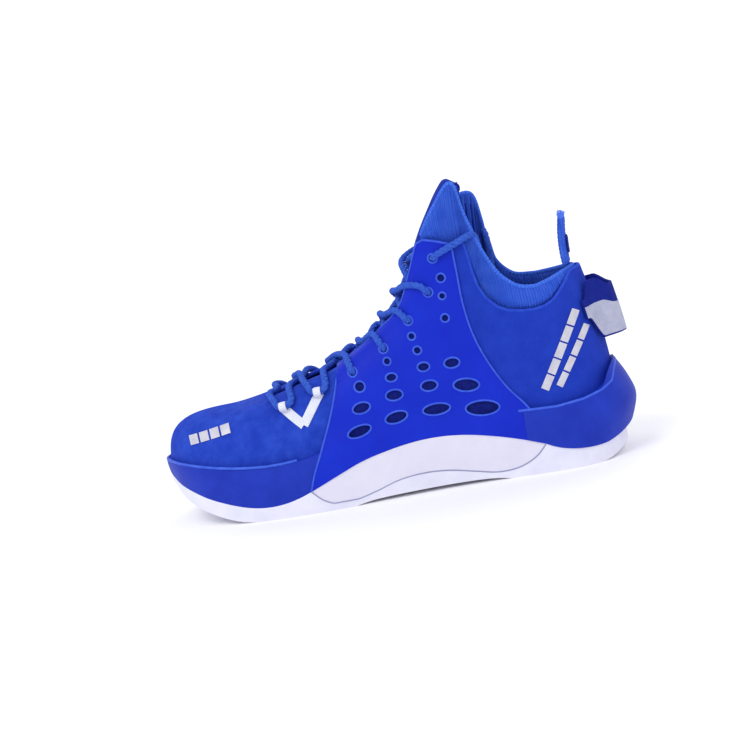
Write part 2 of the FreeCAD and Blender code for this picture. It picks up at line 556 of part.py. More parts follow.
# ---------------------------------------------------------------- lace
def cord_wire(points):
    """Straight runs through points, joined by the largest tangent arcs that fit; and the smallest radius."""
    edges, at, tightest = [], points[0], 999.0
    for before, corner, after in zip(points, points[1:], points[2:]):
        come, go = corner - before, after - corner
        reach = 0.45 * min(come.Length, go.Length)
        come.normalize()
        go.normalize()
        half = come.getAngle(go) / 2
        if half < 0.004:
            continue
        radius = reach / math.tan(half)
        tightest = min(tightest, radius)
        inward = (go - come).normalize()
        start, end = corner - come * reach, corner + go * reach
        middle = corner + inward * (radius / math.cos(half) - radius)
        edges.append(Part.LineSegment(at, start).toShape())
        edges.append(Part.Arc(start, middle, end).toShape())
        at = end
    edges.append(Part.LineSegment(at, points[-1]).toShape())
    return Part.Wire(edges), tightest


def tube(points, radius, name):
    wire, tightest = cord_wire(points)
    ring = Part.Wire(Part.makeCircle(radius, points[0], points[1] - points[0]))
    solid = wire.makePipeShell([ring], True, False)
    share = solid.Volume / (math.pi * radius ** 2 * wire.Length)
    print("%s: length %.1f, smallest radius %.1f, volume ratio %.3f, valid %s"
          % (name, wire.Length, tightest, share, solid.isValid()))
    return solid, wire.Length


def edge_station(u, t):
    """Station of the throat edge nearest to a point of the skin."""
    p = skin(u, t)
    return min([u + k * 0.05 for k in range(-60, 61)], key=lambda v: (skin(v, 1.0) - p).Length)


def towards(u, t, edge, distance):
    """Station and share of the point that lies distance from (u, t) on the way to the edge."""
    p = skin(u, t)
    s = 0.0
    while s < 1 and (skin(u + (edge - u) * s, t + (1 - t) * s) - p).Length < distance:
        s += 0.004
    return u + (edge - u) * s, t + (1 - t) * s


def eyelet_path(index, sign):
    """Points of a cord round the eyestay at an eyelet, from over its edge to the middle of the run inside."""
    u, t = find(EYELETS[index][0], EYELETS[index][1], sign)
    edge = edge_station(u, t)
    turn = towards(u, t, edge, 6.0)
    inside = offset_point(turn[0], turn[1], LACE_UNDER)
    under = offset_point(edge, 0.985, LACE_UNDER)
    return {"over": [offset_point(edge, 1.0, LACE_OVER), offset_point(turn[0], turn[1], LACE_OVER)],
            "hole": [offset_point(u, t, LACE_OVER - 0.1), offset_point(u, t, LACE_UNDER)],
            "inside": inside, "under": under, "joint": (inside + under) * 0.5}


def loop_path(place, sign):
    """Where a cord goes through a webbing loop, and its direction there."""
    u, t = find(place[0], place[1], sign)
    n = normal(u, t)
    way = (Vector(1, 0, 0) - n * n.x).normalize()
    return offset_point(u, t, LOOP_RISE), way


def on_side(x, z, sign, depth):
    u, t = find(x, z, sign)
    return offset_point(u, t, depth)


def edge_at(x, sign, depth, low=14.0, high=24.0):
    """Point over the top edge at x, between two stations of the lateral side or their medial mirror."""
    choices = [low + (high - low) * k / 200 for k in range(201)]
    choices = [u if sign < 0 else COUNT - u for u in choices]
    return offset_point(min(choices, key=lambda v: abs(skin(v, 1.0).x - x)), 1.0, depth)


def climb(place, heel_side, sign, edge_x, depth=2.55):
    """Points of a cord on the vamp, from a webbing loop up to the throat edge."""
    start, way = loop_path(place, sign)
    step = way * (3.6 if heel_side else -3.6)
    u, t = find(place[0] + (6.0 if heel_side else -6.0), place[1] + 3.6, sign)
    edges = [14 + k * 0.05 for k in range(200)]
    edges = [v if sign < 0 else COUNT - v for v in edges]
    edge = min(edges, key=lambda v: abs(skin(v, 1.0).x - edge_x))
    found = [start, start + step, offset_point(u, t, depth + 0.5)]
    for share in (0.36, 0.7):
        found.append(offset_point(u + (edge - u) * share, t + (1 - t) * share, depth + 0.15))
    return found + [offset_point(edge, 1.0, depth)]


def over_tongue(x, sign, height, spread=1.3):
    """Three points of a cord across the tongue, leaving the side given."""
    return [tongue_point(x - spread, sign * 7, height * 0.7 + 0.9), tongue_point(x, 0, height),
            tongue_point(x + spread, -sign * 7, height * 0.7 + 1.1)]


LOOP_RISE = 3.3
CROSSINGS = [-12.5, 4.5, 15.5]
LOW, HIGH = 2.5, 7.1            # height over the tongue of the lower and the upper cord of a crossing
cords = []
held = []


def lay(points):
    """Add one stretch of lace."""
    cord, size = tube(points, LACE_R, "lace stretch %d" % len(cords))
    cords.append(cord)
    held.append(size)


eyes = {sign: [eyelet_path(k, sign) for k in range(len(EYELETS))] for sign in (-1, 1)}
lay(climb(LOOP_FRONT, False, -1, -71.5) + [Vector(-72, 0, 72.6)] + climb(LOOP_FRONT, False, 1, -71.5)[::-1])
for sign, rise in ((-1, 0.0), (1, 4.7)):
    lay(climb(LOOP_FRONT, True, sign, -60) + [Vector(-56.5, 0, 75.2 + rise)]
        + climb(LOOP_BACK, False, -sign, -53)[::-1])
    eye = eyes[-sign][0]
    lay(climb(LOOP_BACK, True, sign, -38.5) + [Vector(-32, 0, 82.6 + rise)] + eye["over"] + eye["hole"]
        + [eye["inside"], eye["joint"]])
for row, x in enumerate(CROSSINGS):
    for sign, height in ((-1, LOW), (1, HIGH)):
        start, eye = eyes[sign][row], eyes[-sign][row + 1]
        lay([start["joint"], start["under"]] + over_tongue(x, sign, height) + eye["over"] + eye["hole"]
            + [eye["inside"], eye["joint"]])
for sign, height, rim_x in ((1, LOW, 66.0), (-1, HIGH, 70.0)):
    start, eye = eyes[sign][3], eyes[-sign][4]
    name = "lateral" if sign > 0 else "medial"
    crest = edge_at(rim_x, -sign, -4.0, 8.0, 9.6) + Vector(0, 0, 3.5)
    drop = Vector(crest.x + 1.6, crest.y + sign * 7.0, crest.z - 8.0)
    lay([start["joint"], start["under"], tongue_point(23.2, sign * 7, height * 0.7 + 0.7),
         tongue_point(24.8, 0, height), tongue_point(26.4, -sign * 7, height * 0.5 + 0.4), eye["under"],
         eye["inside"], eye["hole"][1], eye["hole"][0], on_side(46.5, 143.4, -sign, LACE_OVER),
         on_side(54, 146.4, -sign, LACE_OVER), on_side(60.5, 149.4, -sign, 3.2), crest, drop,
         drop - Vector(0, 0, 7)])
    points = [drop - Vector(0, 0, 7)] + [drop + Vector(a, sign * b, -c) for a, b, c in
                                         ((0, 0, 18), (0.8, 0.5, 34), (0.2, 1.4, 52), (-0.8, 1.3, 70), (-1, 0.9, 82))]
    free, size = tube(points, LACE_R, "lace_end_" + name)
    print([tuple(round(v, 2) for v in p) for p in points])
    keep("lace_end_" + name, free)
    tip = points[-1]
    keep("aglet_" + name, Part.makeCylinder(LACE_R - 0.3, 18, tip, tip - points[-2]))
keep("lace", Part.Compound(cords))
print("held length", round(sum(held), 1))

# ---------------------------------------------------------------- webbing loops on the vamp
for side, sign, first, last in (("lateral", -1, 16.5, 21.5), ("medial", 1, 26.5, 31.5)):
    webbing = layer(GAP, 0.9, first, last, crown=0.95, sole=0.1, rows=16)
    legs = []
    for place in (LOOP_FRONT, LOOP_BACK):
        dx, dz = place[0] - LOOP_ANCHOR[0], place[1] - LOOP_ANCHOR[1]
        size = math.hypot(dx, dz)
        wx, wz = -dz / size * 2.3, dx / size * 2.3
        tip = (place[0] + dx / size * 1.5, place[1] + dz / size * 1.5)
        legs.append(webbing.common(side_cut(loop_runs([
            (LOOP_ANCHOR[0] + wx, LOOP_ANCHOR[1] + wz), (tip[0] + wx, tip[1] + wz), (tip[0] - wx, tip[1] - wz),
            (LOOP_ANCHOR[0] - wx, LOOP_ANCHOR[1] - wz)]), near=min(0, sign * REACH), far=max(0, sign * REACH))))
        centre, way = loop_path(place, sign)
        start = centre - way * 2.2
        legs.append(Part.makeCylinder(3.1, 4.4, start, way).cut(Part.makeCylinder(2.32, 4.4, start, way)))
    keep("lace_loops_" + side, legs[0].fuse(legs[1:]))

for part_name in SHAPES:
    SHAPES[part_name].exportStep("parts/" + part_name + ".step")
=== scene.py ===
import math
import bmesh
import bpy
import numpy as np
from mathutils import Matrix, Vector
from mathutils.geometry import delaunay_2d_cdt


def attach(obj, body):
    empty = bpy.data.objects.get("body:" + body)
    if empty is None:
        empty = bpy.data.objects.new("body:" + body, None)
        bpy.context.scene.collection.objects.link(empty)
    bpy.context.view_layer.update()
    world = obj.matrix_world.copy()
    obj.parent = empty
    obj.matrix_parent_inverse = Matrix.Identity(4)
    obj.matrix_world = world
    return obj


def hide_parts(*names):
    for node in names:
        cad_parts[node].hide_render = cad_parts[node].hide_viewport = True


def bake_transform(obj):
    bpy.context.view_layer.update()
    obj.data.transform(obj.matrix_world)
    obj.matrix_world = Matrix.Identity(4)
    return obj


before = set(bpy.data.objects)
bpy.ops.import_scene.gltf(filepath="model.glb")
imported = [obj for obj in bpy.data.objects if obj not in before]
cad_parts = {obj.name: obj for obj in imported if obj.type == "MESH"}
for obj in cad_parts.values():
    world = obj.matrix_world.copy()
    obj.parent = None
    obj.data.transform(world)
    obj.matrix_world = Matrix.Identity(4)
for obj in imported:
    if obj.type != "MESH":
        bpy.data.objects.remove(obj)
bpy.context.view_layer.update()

MM = 0.001
PI = math.pi

# ---------------------------------------------------------------- camera, lights, floor
AZIMUTH, ELEVATION, ROLL, DISTANCE = math.radians(5), math.radians(9), math.radians(10), 1.5
PER_MM = 1.5867                          # picture units of a 750 wide frame for one millimetre


def make_camera():
    back = Vector((math.sin(AZIMUTH) * math.cos(ELEVATION), -math.cos(AZIMUTH) * math.cos(ELEVATION),
                   math.sin(ELEVATION)))
    level = Vector((0, 0, 1)).cross(back).normalized()
    rise = back.cross(level)
    right = level * math.cos(ROLL) - rise * math.sin(ROLL)
    up = level * math.sin(ROLL) + rise * math.cos(ROLL)
    target = (right * -34.2 + up * 105.9) * (MM / PER_MM)
    data = bpy.data.cameras.new("camera")
    data.sensor_width = 36
    data.lens = PER_MM * 36 * DISTANCE * 1000 / 750
    data.clip_end = 20
    camera = bpy.data.objects.new("camera", data)
    bpy.context.scene.collection.objects.link(camera)
    place = target + back * DISTANCE
    camera.matrix_world = Matrix(((right.x, up.x, back.x, place.x), (right.y, up.y, back.y, place.y),
                                  (right.z, up.z, back.z, place.z), (0, 0, 0, 1)))
    bpy.context.scene.camera = camera


def make_sun(name, source, strength, softness):
    """Wide soft light from one direction."""
    data = bpy.data.lights.new(name, "SUN")
    data.energy = strength
    data.angle = math.radians(softness)
    light = bpy.data.objects.new(name, data)
    bpy.context.scene.collection.objects.link(light)
    light.rotation_euler = Vector(source).to_track_quat("Z", "Y").to_euler()


make_camera()
make_sun("key", (-0.45, -0.75, 1.0), 0.75, 25)
make_sun("back", (0.5, 0.9, 0.9), 0.35, 40)
world = bpy.data.worlds.new("studio")
world.use_nodes = True
world.node_tree.nodes["Background"].inputs[0].default_value = (1, 1, 1, 1)
world.node_tree.nodes["Background"].inputs[1].default_value = 1.0
bpy.context.scene.world = world
bpy.context.scene.view_settings.view_transform = "Standard"

# ---------------------------------------------------------------- the skin, in millimetres
TOE = ((-147.6, 7, 19), (-78, 0, 66.5), 1)
HEEL = ((138.5, 0, 8), (127, 0, 118.5), 0)
LATERAL = [
    ((-143, -8, 17.5), (-77.5, -1.5, 66.5), 1), ((-134.5, -23, 14), (-76.5, -3, 67), 1),
    ((-120, -36, 8), (-74, -5, 68.2), 1), ((-100, -45, 3), (-69, -7.5, 70), 1),
    ((-80, -48.5, 2), (-61, -10, 72.6), 1), ((-60, -49, 2), (-50, -12.5, 76.2), 1),
    ((-40, -47, 2), (-33, -15, 80.8), 1), ((-20, -43.5, 1.5), (-15, -17, 90), 0.95),
    ((0, -40, 1.5), (0, -18.5, 100), 0.85), ((16, -37.5, 1.5), (15, -21, 113), 0.7),
    ((28, -36.2, 1.5), (25, -22.5, 134), 0.5), ((38, -35.6, 1.5), (33, -24.5, 153), 0.3),
    ((48, -35.2, 1.5), (44, -26.5, 169), 0.15), ((56, -35.2, 1.5), (57, -28, 182), 0.05),
    ((64, -35.4, 1.5), (62.5, -30, 160), 0), ((72, -35.8, 1.5), (69, -32, 139), 0),
    ((80, -36.2, 1.5), (77, -33.5, 123.5), 0), ((90, -36.5, 1.5), (87, -34, 114.5), 0),
    ((102, -36.4, 1.5), (98, -32.5, 112), 0), ((114, -34.2, 2), (107.5, -28, 113.5), 0),
    ((125, -28, 3.5), (115, -21.5, 115.5), 0), ((133, -18.5, 6), (121.5, -13, 117.2), 0),
    ((137.5, -8, 7.5), (125.7, -6, 118.2), 0)]
MEDIAL = [
    ((-143, 21, 17.5), (-77.5, 1.5, 66.5), 1), ((-134.5, 33, 14), (-76.5, 3, 67), 1),
    ((-120, 42, 8), (-74, 5, 68.2), 1), ((-100, 48, 3), (-69, 7.5, 70), 1),
    ((-80, 49, 2), (-61, 10, 72.6), 1), ((-60, 46.5, 2), (-50, 12.5, 76.2), 1),
    ((-40, 42, 2), (-33, 15, 80.8), 1), ((-20, 38, 1.5), (-15, 17, 90), 0.95),
    ((0, 34.8, 1.5), (0, 18.5, 100), 0.85), ((16, 33.2, 1.5), (15, 21, 113), 0.7),
    ((28, 32.8, 1.5), (25, 22.5, 134), 0.5), ((38, 33, 1.5), (33, 24.5, 150), 0.3),
    ((48, 33.4, 1.5), (46, 26, 163), 0.15), ((57, 33.8, 1.5), (60, 27, 170.5), 0.05),
    ((65, 34.2, 1.5), (67.5, 29, 166.5), 0), ((72, 34.6, 1.5), (70, 31, 144.5), 0),
    ((80, 35, 1.5), (74.5, 33, 125.5), 0), ((90, 35.7, 1.5), (85, 34, 114.8), 0),
    ((102, 35.9, 1.5), (98, 32.5, 113), 0), ((114, 34, 2), (107.5, 28, 114), 0),
    ((125, 28, 3.5), (115, 21.5, 115.5), 0), ((133, 18.5, 6), (121.5, 13, 117.2), 0),
    ((137.5, 8, 7.5), (125.7, 6, 118.2), 0)]
RIBS = np.array([[*a, *b, c] for a, b, c in [HEEL] + LATERAL[::-1] + [TOE] + MEDIAL], float)
COUNT = len(RIBS)
ARCH_POWER, WALL_POWER = 2.35, 2.2

RIM_TOP = [(-147, 37.8), (-140, 37.5), (-130, 36.5), (-120, 35.2), (-110, 34), (-100, 33),
           (-90, 32.4), (-80, 32), (-70, 32.4), (-60, 33.4), (-46, 36.5)]
OVERLAY_FRONT = [(-56, 13.6), (-53, 22), (-46, 36.5), (-40, 49.5), (-34, 64.5), (-31, 74)]
OVERLAY_TOP = [(36, 151.6), (44, 149.6), (52.5, 146.5)]
OVERLAY_BACK = [(52.5, 146.5), (53, 130), (53.6, 110), (57, 89), (64.5, 69), (73, 54), (82, 42.5), (88, 31.5), (90, 18)]
PLATE_TOP = [(-56, 13.6), (-40, 20), (-25, 25.7), (-8, 29.7), (15, 32.5), (38, 31.6), (60, 27.3), (75, 23.2), (90, 18)]
PLATE_LOW = [(-56, 13.6), (-50, 7.2), (-42, 3.4), (-30, 3.7), (-18, 6.2), (-3, 10.3), (14, 11.8), (30, 10.4),
             (45, 7.2), (60, 4.6), (74, 6.4), (84, 11.6), (90, 18)]
CUP_TOP = [(79, 40.2), (84, 40), (100, 39.5), (115, 41), (124, 43.5), (130, 47), (133, 52), (138, 58)]
COLLAR_LINE = [(26, 151.5), (36, 151.6), (44, 149.6), (52.5, 146.5), (59.5, 147.2), (60.8, 139), (62, 129), (64, 119),
               (68, 111), (74, 104.8), (80, 101.7), (88, 100.2), (95, 99.7), (102, 100.5), (108, 103), (113, 107.5),
               (117, 112), (121, 117.5), (128, 126), (160, 150)]
COLLAR_LOW = [(10, 148.4), (40, 148.2), (49, 142), (54, 126), (57, 112), (62, 102), (72, 95), (86, 91.5), (100, 91.5),
              (112, 96), (122, 104), (150, 108)]
LACE_ZONE = [(-60, 62), (-36, 64), (-20, 71), (1, 82), (22, 96), (40, 112), (49, 130), (52, 147.5), (56, 200), (160, 260)]
FOOTBED = [(-160, 34), (-140, 28), (-125, 22.5), (-110, 19.5), (-90, 18), (-60, 18), (-30, 19.5), (0, 22), (40, 25),
           (80, 26), (120, 27), (160, 28)]
VENTS = [(-17, 70.0, 3.3, 3.2, 0), (-18, 57.5, 5.5, 3.3, 8), (-21.5, 44, 7.5, 3.3, 12), (2, 82.2, 2.3, 2.3, 0),
         (3, 72.5, 3.5, 2.6, 0), (3, 61.8, 5.3, 3.3, 0), (2, 48.4, 7, 3.5, 8), (19.5, 95, 2.3, 2.3, 0),
         (21.5, 86.2, 2.5, 2.5, 0), (23.5, 75.8, 3.8, 2.8, 0), (25, 64, 5.2, 3.3, 0), (27, 49.1, 8.5, 3.5, 0),
         (43, 127.6, 2.7, 2.7, 0), (42, 116.7, 2.2, 2.2, 0), (41.5, 103.2, 2.5, 2.5, 0), (41, 75.6, 4.8, 3.2, 0),
         (47.5, 60.8, 8, 4, -8), (55, 45.4, 10.5, 4.5, -5)]
EYELETS = [(-20, 78.8), (1, 89.8), (19, 104.5), (34, 120), (40, 140)]
EYELET_R, LACE_R, LACE_OVER, LACE_UNDER = 2.75, 2.2, 3.45, -4.15
LOOP_FRONT, LOOP_BACK, LOOP_ANCHOR, LOOP_RISE = (-65, 63.5), (-42.8, 69.2), (-54.3, 53.2), 3.3
TONGUE = [(-73, 64), (-60, 67.8), (-45, 71.6), (-30, 77), (-15, 87), (0, 99.2), (10, 109.6), (18, 121.5), (24, 134),
          (28, 146.2), (33, 156), (40, 167.5), (47, 178), (53, 185.2)]
TONGUE_WIDTH = [(-73, 8), (-62, 11), (-40, 13.5), (-15, 15.5), (0, 16.2), (15, 17), (28, 17.5), (34, 18.4), (50, 18.6),
                (54, 15)]
TONGUE_DROOP = [(-73, 1.2), (-50, 3.5), (-30, 5.5), (-10, 8), (10, 9.5), (28, 10.5), (40, 11.5), (54, 12)]
CUP_BACK = [(6, 1.6), (12, 2.8), (16, 4.6), (21, 7.4), (26, 9.6), (33, 11.5), (39, 10.4), (48, 7.2), (54, 4.4), (60, 1.6)]
CUP_SIDE = [(0, 4.6), (12, 5.0), (22, 5.3), (30, 5.1), (38, 4.2), (46, 3.0), (60, 1.5)]
PULL_OUT = [(0, 13), (0.4, 12.9), (0.75, 11.4), (1.05, 8), (1.3, 4.6), (1.6, 2.4), (1.9, 1.45), (2.4, 0.9)]


def table(points, x):
    p = np.array(points, float)
    return np.interp(x, p[:, 0], p[:, 1])


def smooth(a, b, x):
    t = np.clip((x - a) / (b - a), 0, 1)
    return t * t * (3 - 2 * t)


def rib(u):
    u = np.asarray(u, float)
    i = np.floor(u).astype(int)
    f = (u - i)[..., None]
    weights = (-0.5 * f + f * f - 0.5 * f ** 3, 1 - 2.5 * f * f + 1.5 * f ** 3,
               0.5 * f + 2 * f * f - 1.5 * f ** 3, -0.5 * f * f + 0.5 * f ** 3)
    return sum(w * RIBS[(i + k) % COUNT] for w, k in zip(weights, (-1, 0, 1, 2)))


def skin(u, t):
    u, t = np.broadcast_arrays(np.asarray(u, float), np.clip(np.asarray(t, float), 0, 1))
    r = rib(u)
    foot, top, arch = r[..., 0:3], r[..., 3:6], np.clip(r[..., 6], 0, 1)
    angle = t * PI / 2
    c, s = np.clip(np.cos(angle), 0, 1), np.sin(angle)
    out = arch * c ** (2 / ARCH_POWER) + (1 - arch) * (1 - t ** WALL_POWER)
    up = arch * s ** (2 / ARCH_POWER) + (1 - arch) * t
    blunt = np.exp(-((u - 24) / 2.2) ** 2)
    reach = (c ** 4.4 + s ** 4.4) ** (-1 / 4.4)
    out, up = out + blunt * (c * reach - out), up + blunt * (s * reach - up)
    p = top + (foot - top) * out[..., None]
    p[..., 2] = foot[..., 2] + (top[..., 2] - foot[..., 2]) * up
    return p


def unit(v):
    v = np.asarray(v, float)
    return v / np.maximum(np.linalg.norm(v, axis=-1, keepdims=True), 1e-9)


def normal(u, t):
    u, t = np.broadcast_arrays(np.asarray(u, float), np.asarray(t, float))
    high, low = np.minimum(0.99, t + 0.03), np.clip(t - 0.03, 0.01, 0.95)
    return unit(np.cross(skin(u, high) - skin(u, low), skin(u + 0.06, t) - skin(u - 0.06, t)))


def offset(u, t, depth):
    """The skin moved out by depth, a number, an array or a function of the skin's points."""
    p = skin(u, t)
    d = depth(p) if callable(depth) else depth
    d = np.broadcast_to(np.asarray(d, float), p.shape[:-1])
    return p + normal(u, t) * d[..., None]


def find(x, z, side):
    """Stations and shares of the skin seen at (x, z) from one side, -1 lateral or 1 medial."""
    x, z = np.atleast_1d(np.asarray(x, float)), np.atleast_1d(np.asarray(z, float))
    us, ts = np.meshgrid(np.arange(0.3, 23.8, 0.25), np.linspace(0.04, 0.98, 60), indexing="ij")
    us = us if side < 0 else COUNT - us
    seen = skin(us, ts)
    u, t = np.empty(len(x)), np.empty(len(x))
    for k in range(len(x)):
        best = np.argmin((seen[..., 0] - x[k]) ** 2 + (seen[..., 2] - z[k]) ** 2)
        u[k], t[k] = us.flat[best], ts.flat[best]
    for _ in range(10):
        p = skin(u, t)
        pu = (skin(u + 0.01, t) - p) * 100
        pt = (skin(u, np.minimum(1, t + 0.005)) - skin(u, t - 0.005)) * 100
        det = pu[:, 0] * pt[:, 2] - pu[:, 2] * pt[:, 0]
        det = np.where(abs(det) < 1e-3, 1e-3, det)
        ex, ez = x - p[:, 0], z - p[:, 2]
        u = u + np.clip((ex * pt[:, 2] - ez * pt[:, 0]) / det, -0.3, 0.3)
        t = np.clip(t + np.clip((pu[:, 0] * ez - pu[:, 2] * ex) / det, -0.05, 0.05), 0.01, 0.99)
    return u, t


def line(points, step=1.5, closed=False):
    """Points along a smooth curve through the ones given."""
    p = np.array(points, float)
    if closed:
        p = np.vstack([p, p[:1]])
    s = np.concatenate([[0], np.cumsum(np.linalg.norm(np.diff(p, axis=0), axis=1))])
    m = np.gradient(p, s, axis=0)
    if closed:
        m[0] = m[-1] = (p[1] - p[-2]) / (s[1] + s[-1] - s[-2])
    at = np.linspace(0, s[-1], max(2, int(round(s[-1] / step)) + 1))
    if closed:
        at = at[:-1]
    k = np.clip(np.searchsorted(s, at, "right") - 1, 0, len(p) - 2)
    h = (s[k + 1] - s[k])[:, None]
    f = (at - s[k])[:, None] / h
    return ((2 * f ** 3 - 3 * f ** 2 + 1) * p[k] + (f ** 3 - 2 * f ** 2 + f) * h * m[k]
            + (3 * f ** 2 - 2 * f ** 3) * p[k + 1] + (f ** 3 - f ** 2) * h * m[k + 1])


def crossing(u, points):
    """Share of each rib at which it crosses a side view line; 1 where it doesn't."""
    u = np.asarray(u, float)
    t = np.linspace(0, 1, 301)
    p = skin(u[:, None], t[None, :])
    over = p[..., 2] - table(points, p[..., 0])
    hit = np.argmax(over > 0, axis=1)
    k = np.maximum(hit, 1)
    row = np.arange(len(u))
    a, b = over[row, k - 1], over[row, k]
    share = t[k - 1] + (t[k] - t[k - 1]) * np.clip(-a / np.where(b - a == 0, 1, b - a), 0, 1)
    return np.where(over.max(axis=1) > 0, share, 1.0)


# ---------------------------------------------------------------- mesh building
class Build:
    """Collects grids and triangles in millimetres, with texture places in millimetres too."""

    def __init__(self):
        self.verts, self.uvs, self.faces, self.slots = [], [], [], []

    def add(self, verts, faces, uvs=None, slot=0):
        verts = np.asarray(verts, float).reshape(-1, 3)
        base = sum(len(v) for v in self.verts)
        self.verts.append(verts)
        self.uvs.append(verts[:, :2] * 0 if uvs is None else np.asarray(uvs, float).reshape(-1, 2))
        self.faces += [tuple(base + i for i in f) for f in faces]
        self.slots += [slot] * len(faces)

    def grid(self, p, uv=None, slot=0, flip=False):
        a, b = p.shape[:2]
        if uv is None:
            along = np.concatenate([[0], np.cumsum(np.linalg.norm(np.diff(p[:, b // 2], axis=0), axis=1))])
            across = np.concatenate([[0], np.cumsum(np.linalg.norm(np.diff(p[a // 2], axis=0), axis=1))])
            uv = np.stack(np.meshgrid(along, across, indexing="ij"), -1)
        faces = []
        for i in range(a - 1):
            for j in range(b - 1):
                f = (i * b + j, (i + 1) * b + j, (i + 1) * b + j + 1, i * b + j + 1)
                faces.append(f[::-1] if flip else f)
        self.add(p, faces, uv, slot)

    def tube(self, p, radius, sides=8, closed=False, slot=0, caps=True, flat=1.0, guide=None):
        """Tube along points; radius may vary. guide gives the direction of its flatter axis."""
        p = np.asarray(p, float)
        n = len(p)
        if closed:
            d = unit(np.roll(p, -1, 0) - np.roll(p, 1, 0))
        else:
            d = unit(np.gradient(p, axis=0))
        if guide is None:
            first, _ = frames(p, d, closed)
        else:
            first = unit(guide - d * np.sum(guide * d, axis=1, keepdims=True))
        second = np.cross(d, first)
        angle = np.linspace(0, 2 * PI, sides + 1)
        r = np.broadcast_to(np.asarray(radius, float), (n,))[:, None, None]
        ring = (first[:, None] * np.cos(angle)[None, :, None] * flat
                + second[:, None] * np.sin(angle)[None, :, None]) * r + p[:, None]
        s = np.concatenate([[0], np.cumsum(np.linalg.norm(np.diff(p, axis=0), axis=1))])
        if closed:
            ring = np.concatenate([ring, ring[:1]])
            s = np.append(s, s[-1] + np.linalg.norm(p[0] - p[-1]))
        around = angle * np.mean(r)
        self.grid(ring, np.stack(np.meshgrid(s, around, indexing="ij"), -1), slot)
        if caps and not closed:
            for end, centre in ((ring[0], p[0] - d[0] * r[0, 0, 0] * 0.5), (ring[-1], p[-1] + d[-1] * r[-1, 0, 0] * 0.5)):
                fan = np.vstack([end[:-1], centre[None]])
                self.add(fan, [(k, (k + 1) % sides, sides) for k in range(sides)], slot=slot)

    def finish(self, name, materials, body="shoe", replaces=(), sharp=40, weld=True, smooth_levels=0):
        verts = np.concatenate(self.verts) * MM
        mesh = bpy.data.meshes.new(name)
        mesh.from_pydata(verts.tolist(), [], self.faces)
        uvs = np.concatenate(self.uvs)
        layer = mesh.uv_layers.new(name="uv")
        index = np.empty(len(mesh.loops), int)
        mesh.loops.foreach_get("vertex_index", index)
        layer.data.foreach_set("uv", uvs[index].astype("f").ravel())
        mesh.polygons.foreach_set("material_index", self.slots)
        mesh.polygons.foreach_set("use_smooth", [True] * len(mesh.polygons))
        bm = bmesh.new()
        bm.from_mesh(mesh)
        if weld:
            bmesh.ops.remove_doubles(bm, verts=bm.verts, dist=0.00001)
        bmesh.ops.dissolve_degenerate(bm, edges=bm.edges, dist=0.000005)
        bmesh.ops.recalc_face_normals(bm, faces=bm.faces)
        bm.to_mesh(mesh)
        bm.free()
        mesh.set_sharp_from_angle(angle=math.radians(sharp))
        for m in materials if isinstance(materials, (list, tuple)) else [materials]:
            mesh.materials.append(m)
        piece = bpy.data.objects.new(name, mesh)
        bpy.context.scene.collection.objects.link(piece)
        if smooth_levels:
            modifier = piece.modifiers.new("smooth", "SUBSURF")
            modifier.levels = modifier.render_levels = smooth_levels
        if body:
            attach(piece, body)
        if replaces:
            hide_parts(*replaces)
        return piece


def frames(p, d, closed=False):
    """Directions across a path that don't twist."""
    n = len(p)
    first = np.zeros((n, 3))
    start = np.cross(d[0], (0, 0, 1.0))
    if np.linalg.norm(start) < 0.2:
        start = np.cross(d[0], (0, 1.0, 0))
    first[0] = unit(start)
    for k in range(1, n):
        v = first[k - 1] - d[k] * np.dot(first[k - 1], d[k])
        first[k] = unit(v)
    return first, np.cross(d, first)


def length_of(p):
    return np.concatenate([[0], np.cumsum(np.linalg.norm(np.diff(p, axis=0), axis=1))])


def resample(p, step):
    s = length_of(p)
    at = np.linspace(0, s[-1], max(3, int(round(s[-1] / step)) + 1))
    return np.stack([np.interp(at, s, p[:, k]) for k in range(3)], -1)


def inside(points, loop):
    """Which points lie in a closed plane outline."""
    x, y = points[:, 0][:, None], points[:, 1][:, None]
    a, b = loop, np.roll(loop, -1, 0)
    crosses = (a[None, :, 1] > y) != (b[None, :, 1] > y)
    with np.errstate(divide="ignore", invalid="ignore"):
        at = (b[:, 0] - a[:, 0])[None] * (y - a[None, :, 1]) / (b[:, 1] - a[:, 1])[None] + a[None, :, 0]
    return (np.sum(crosses & (x < at), axis=1) % 2) == 1


SPREAD = np.array([9.0, 120.0])


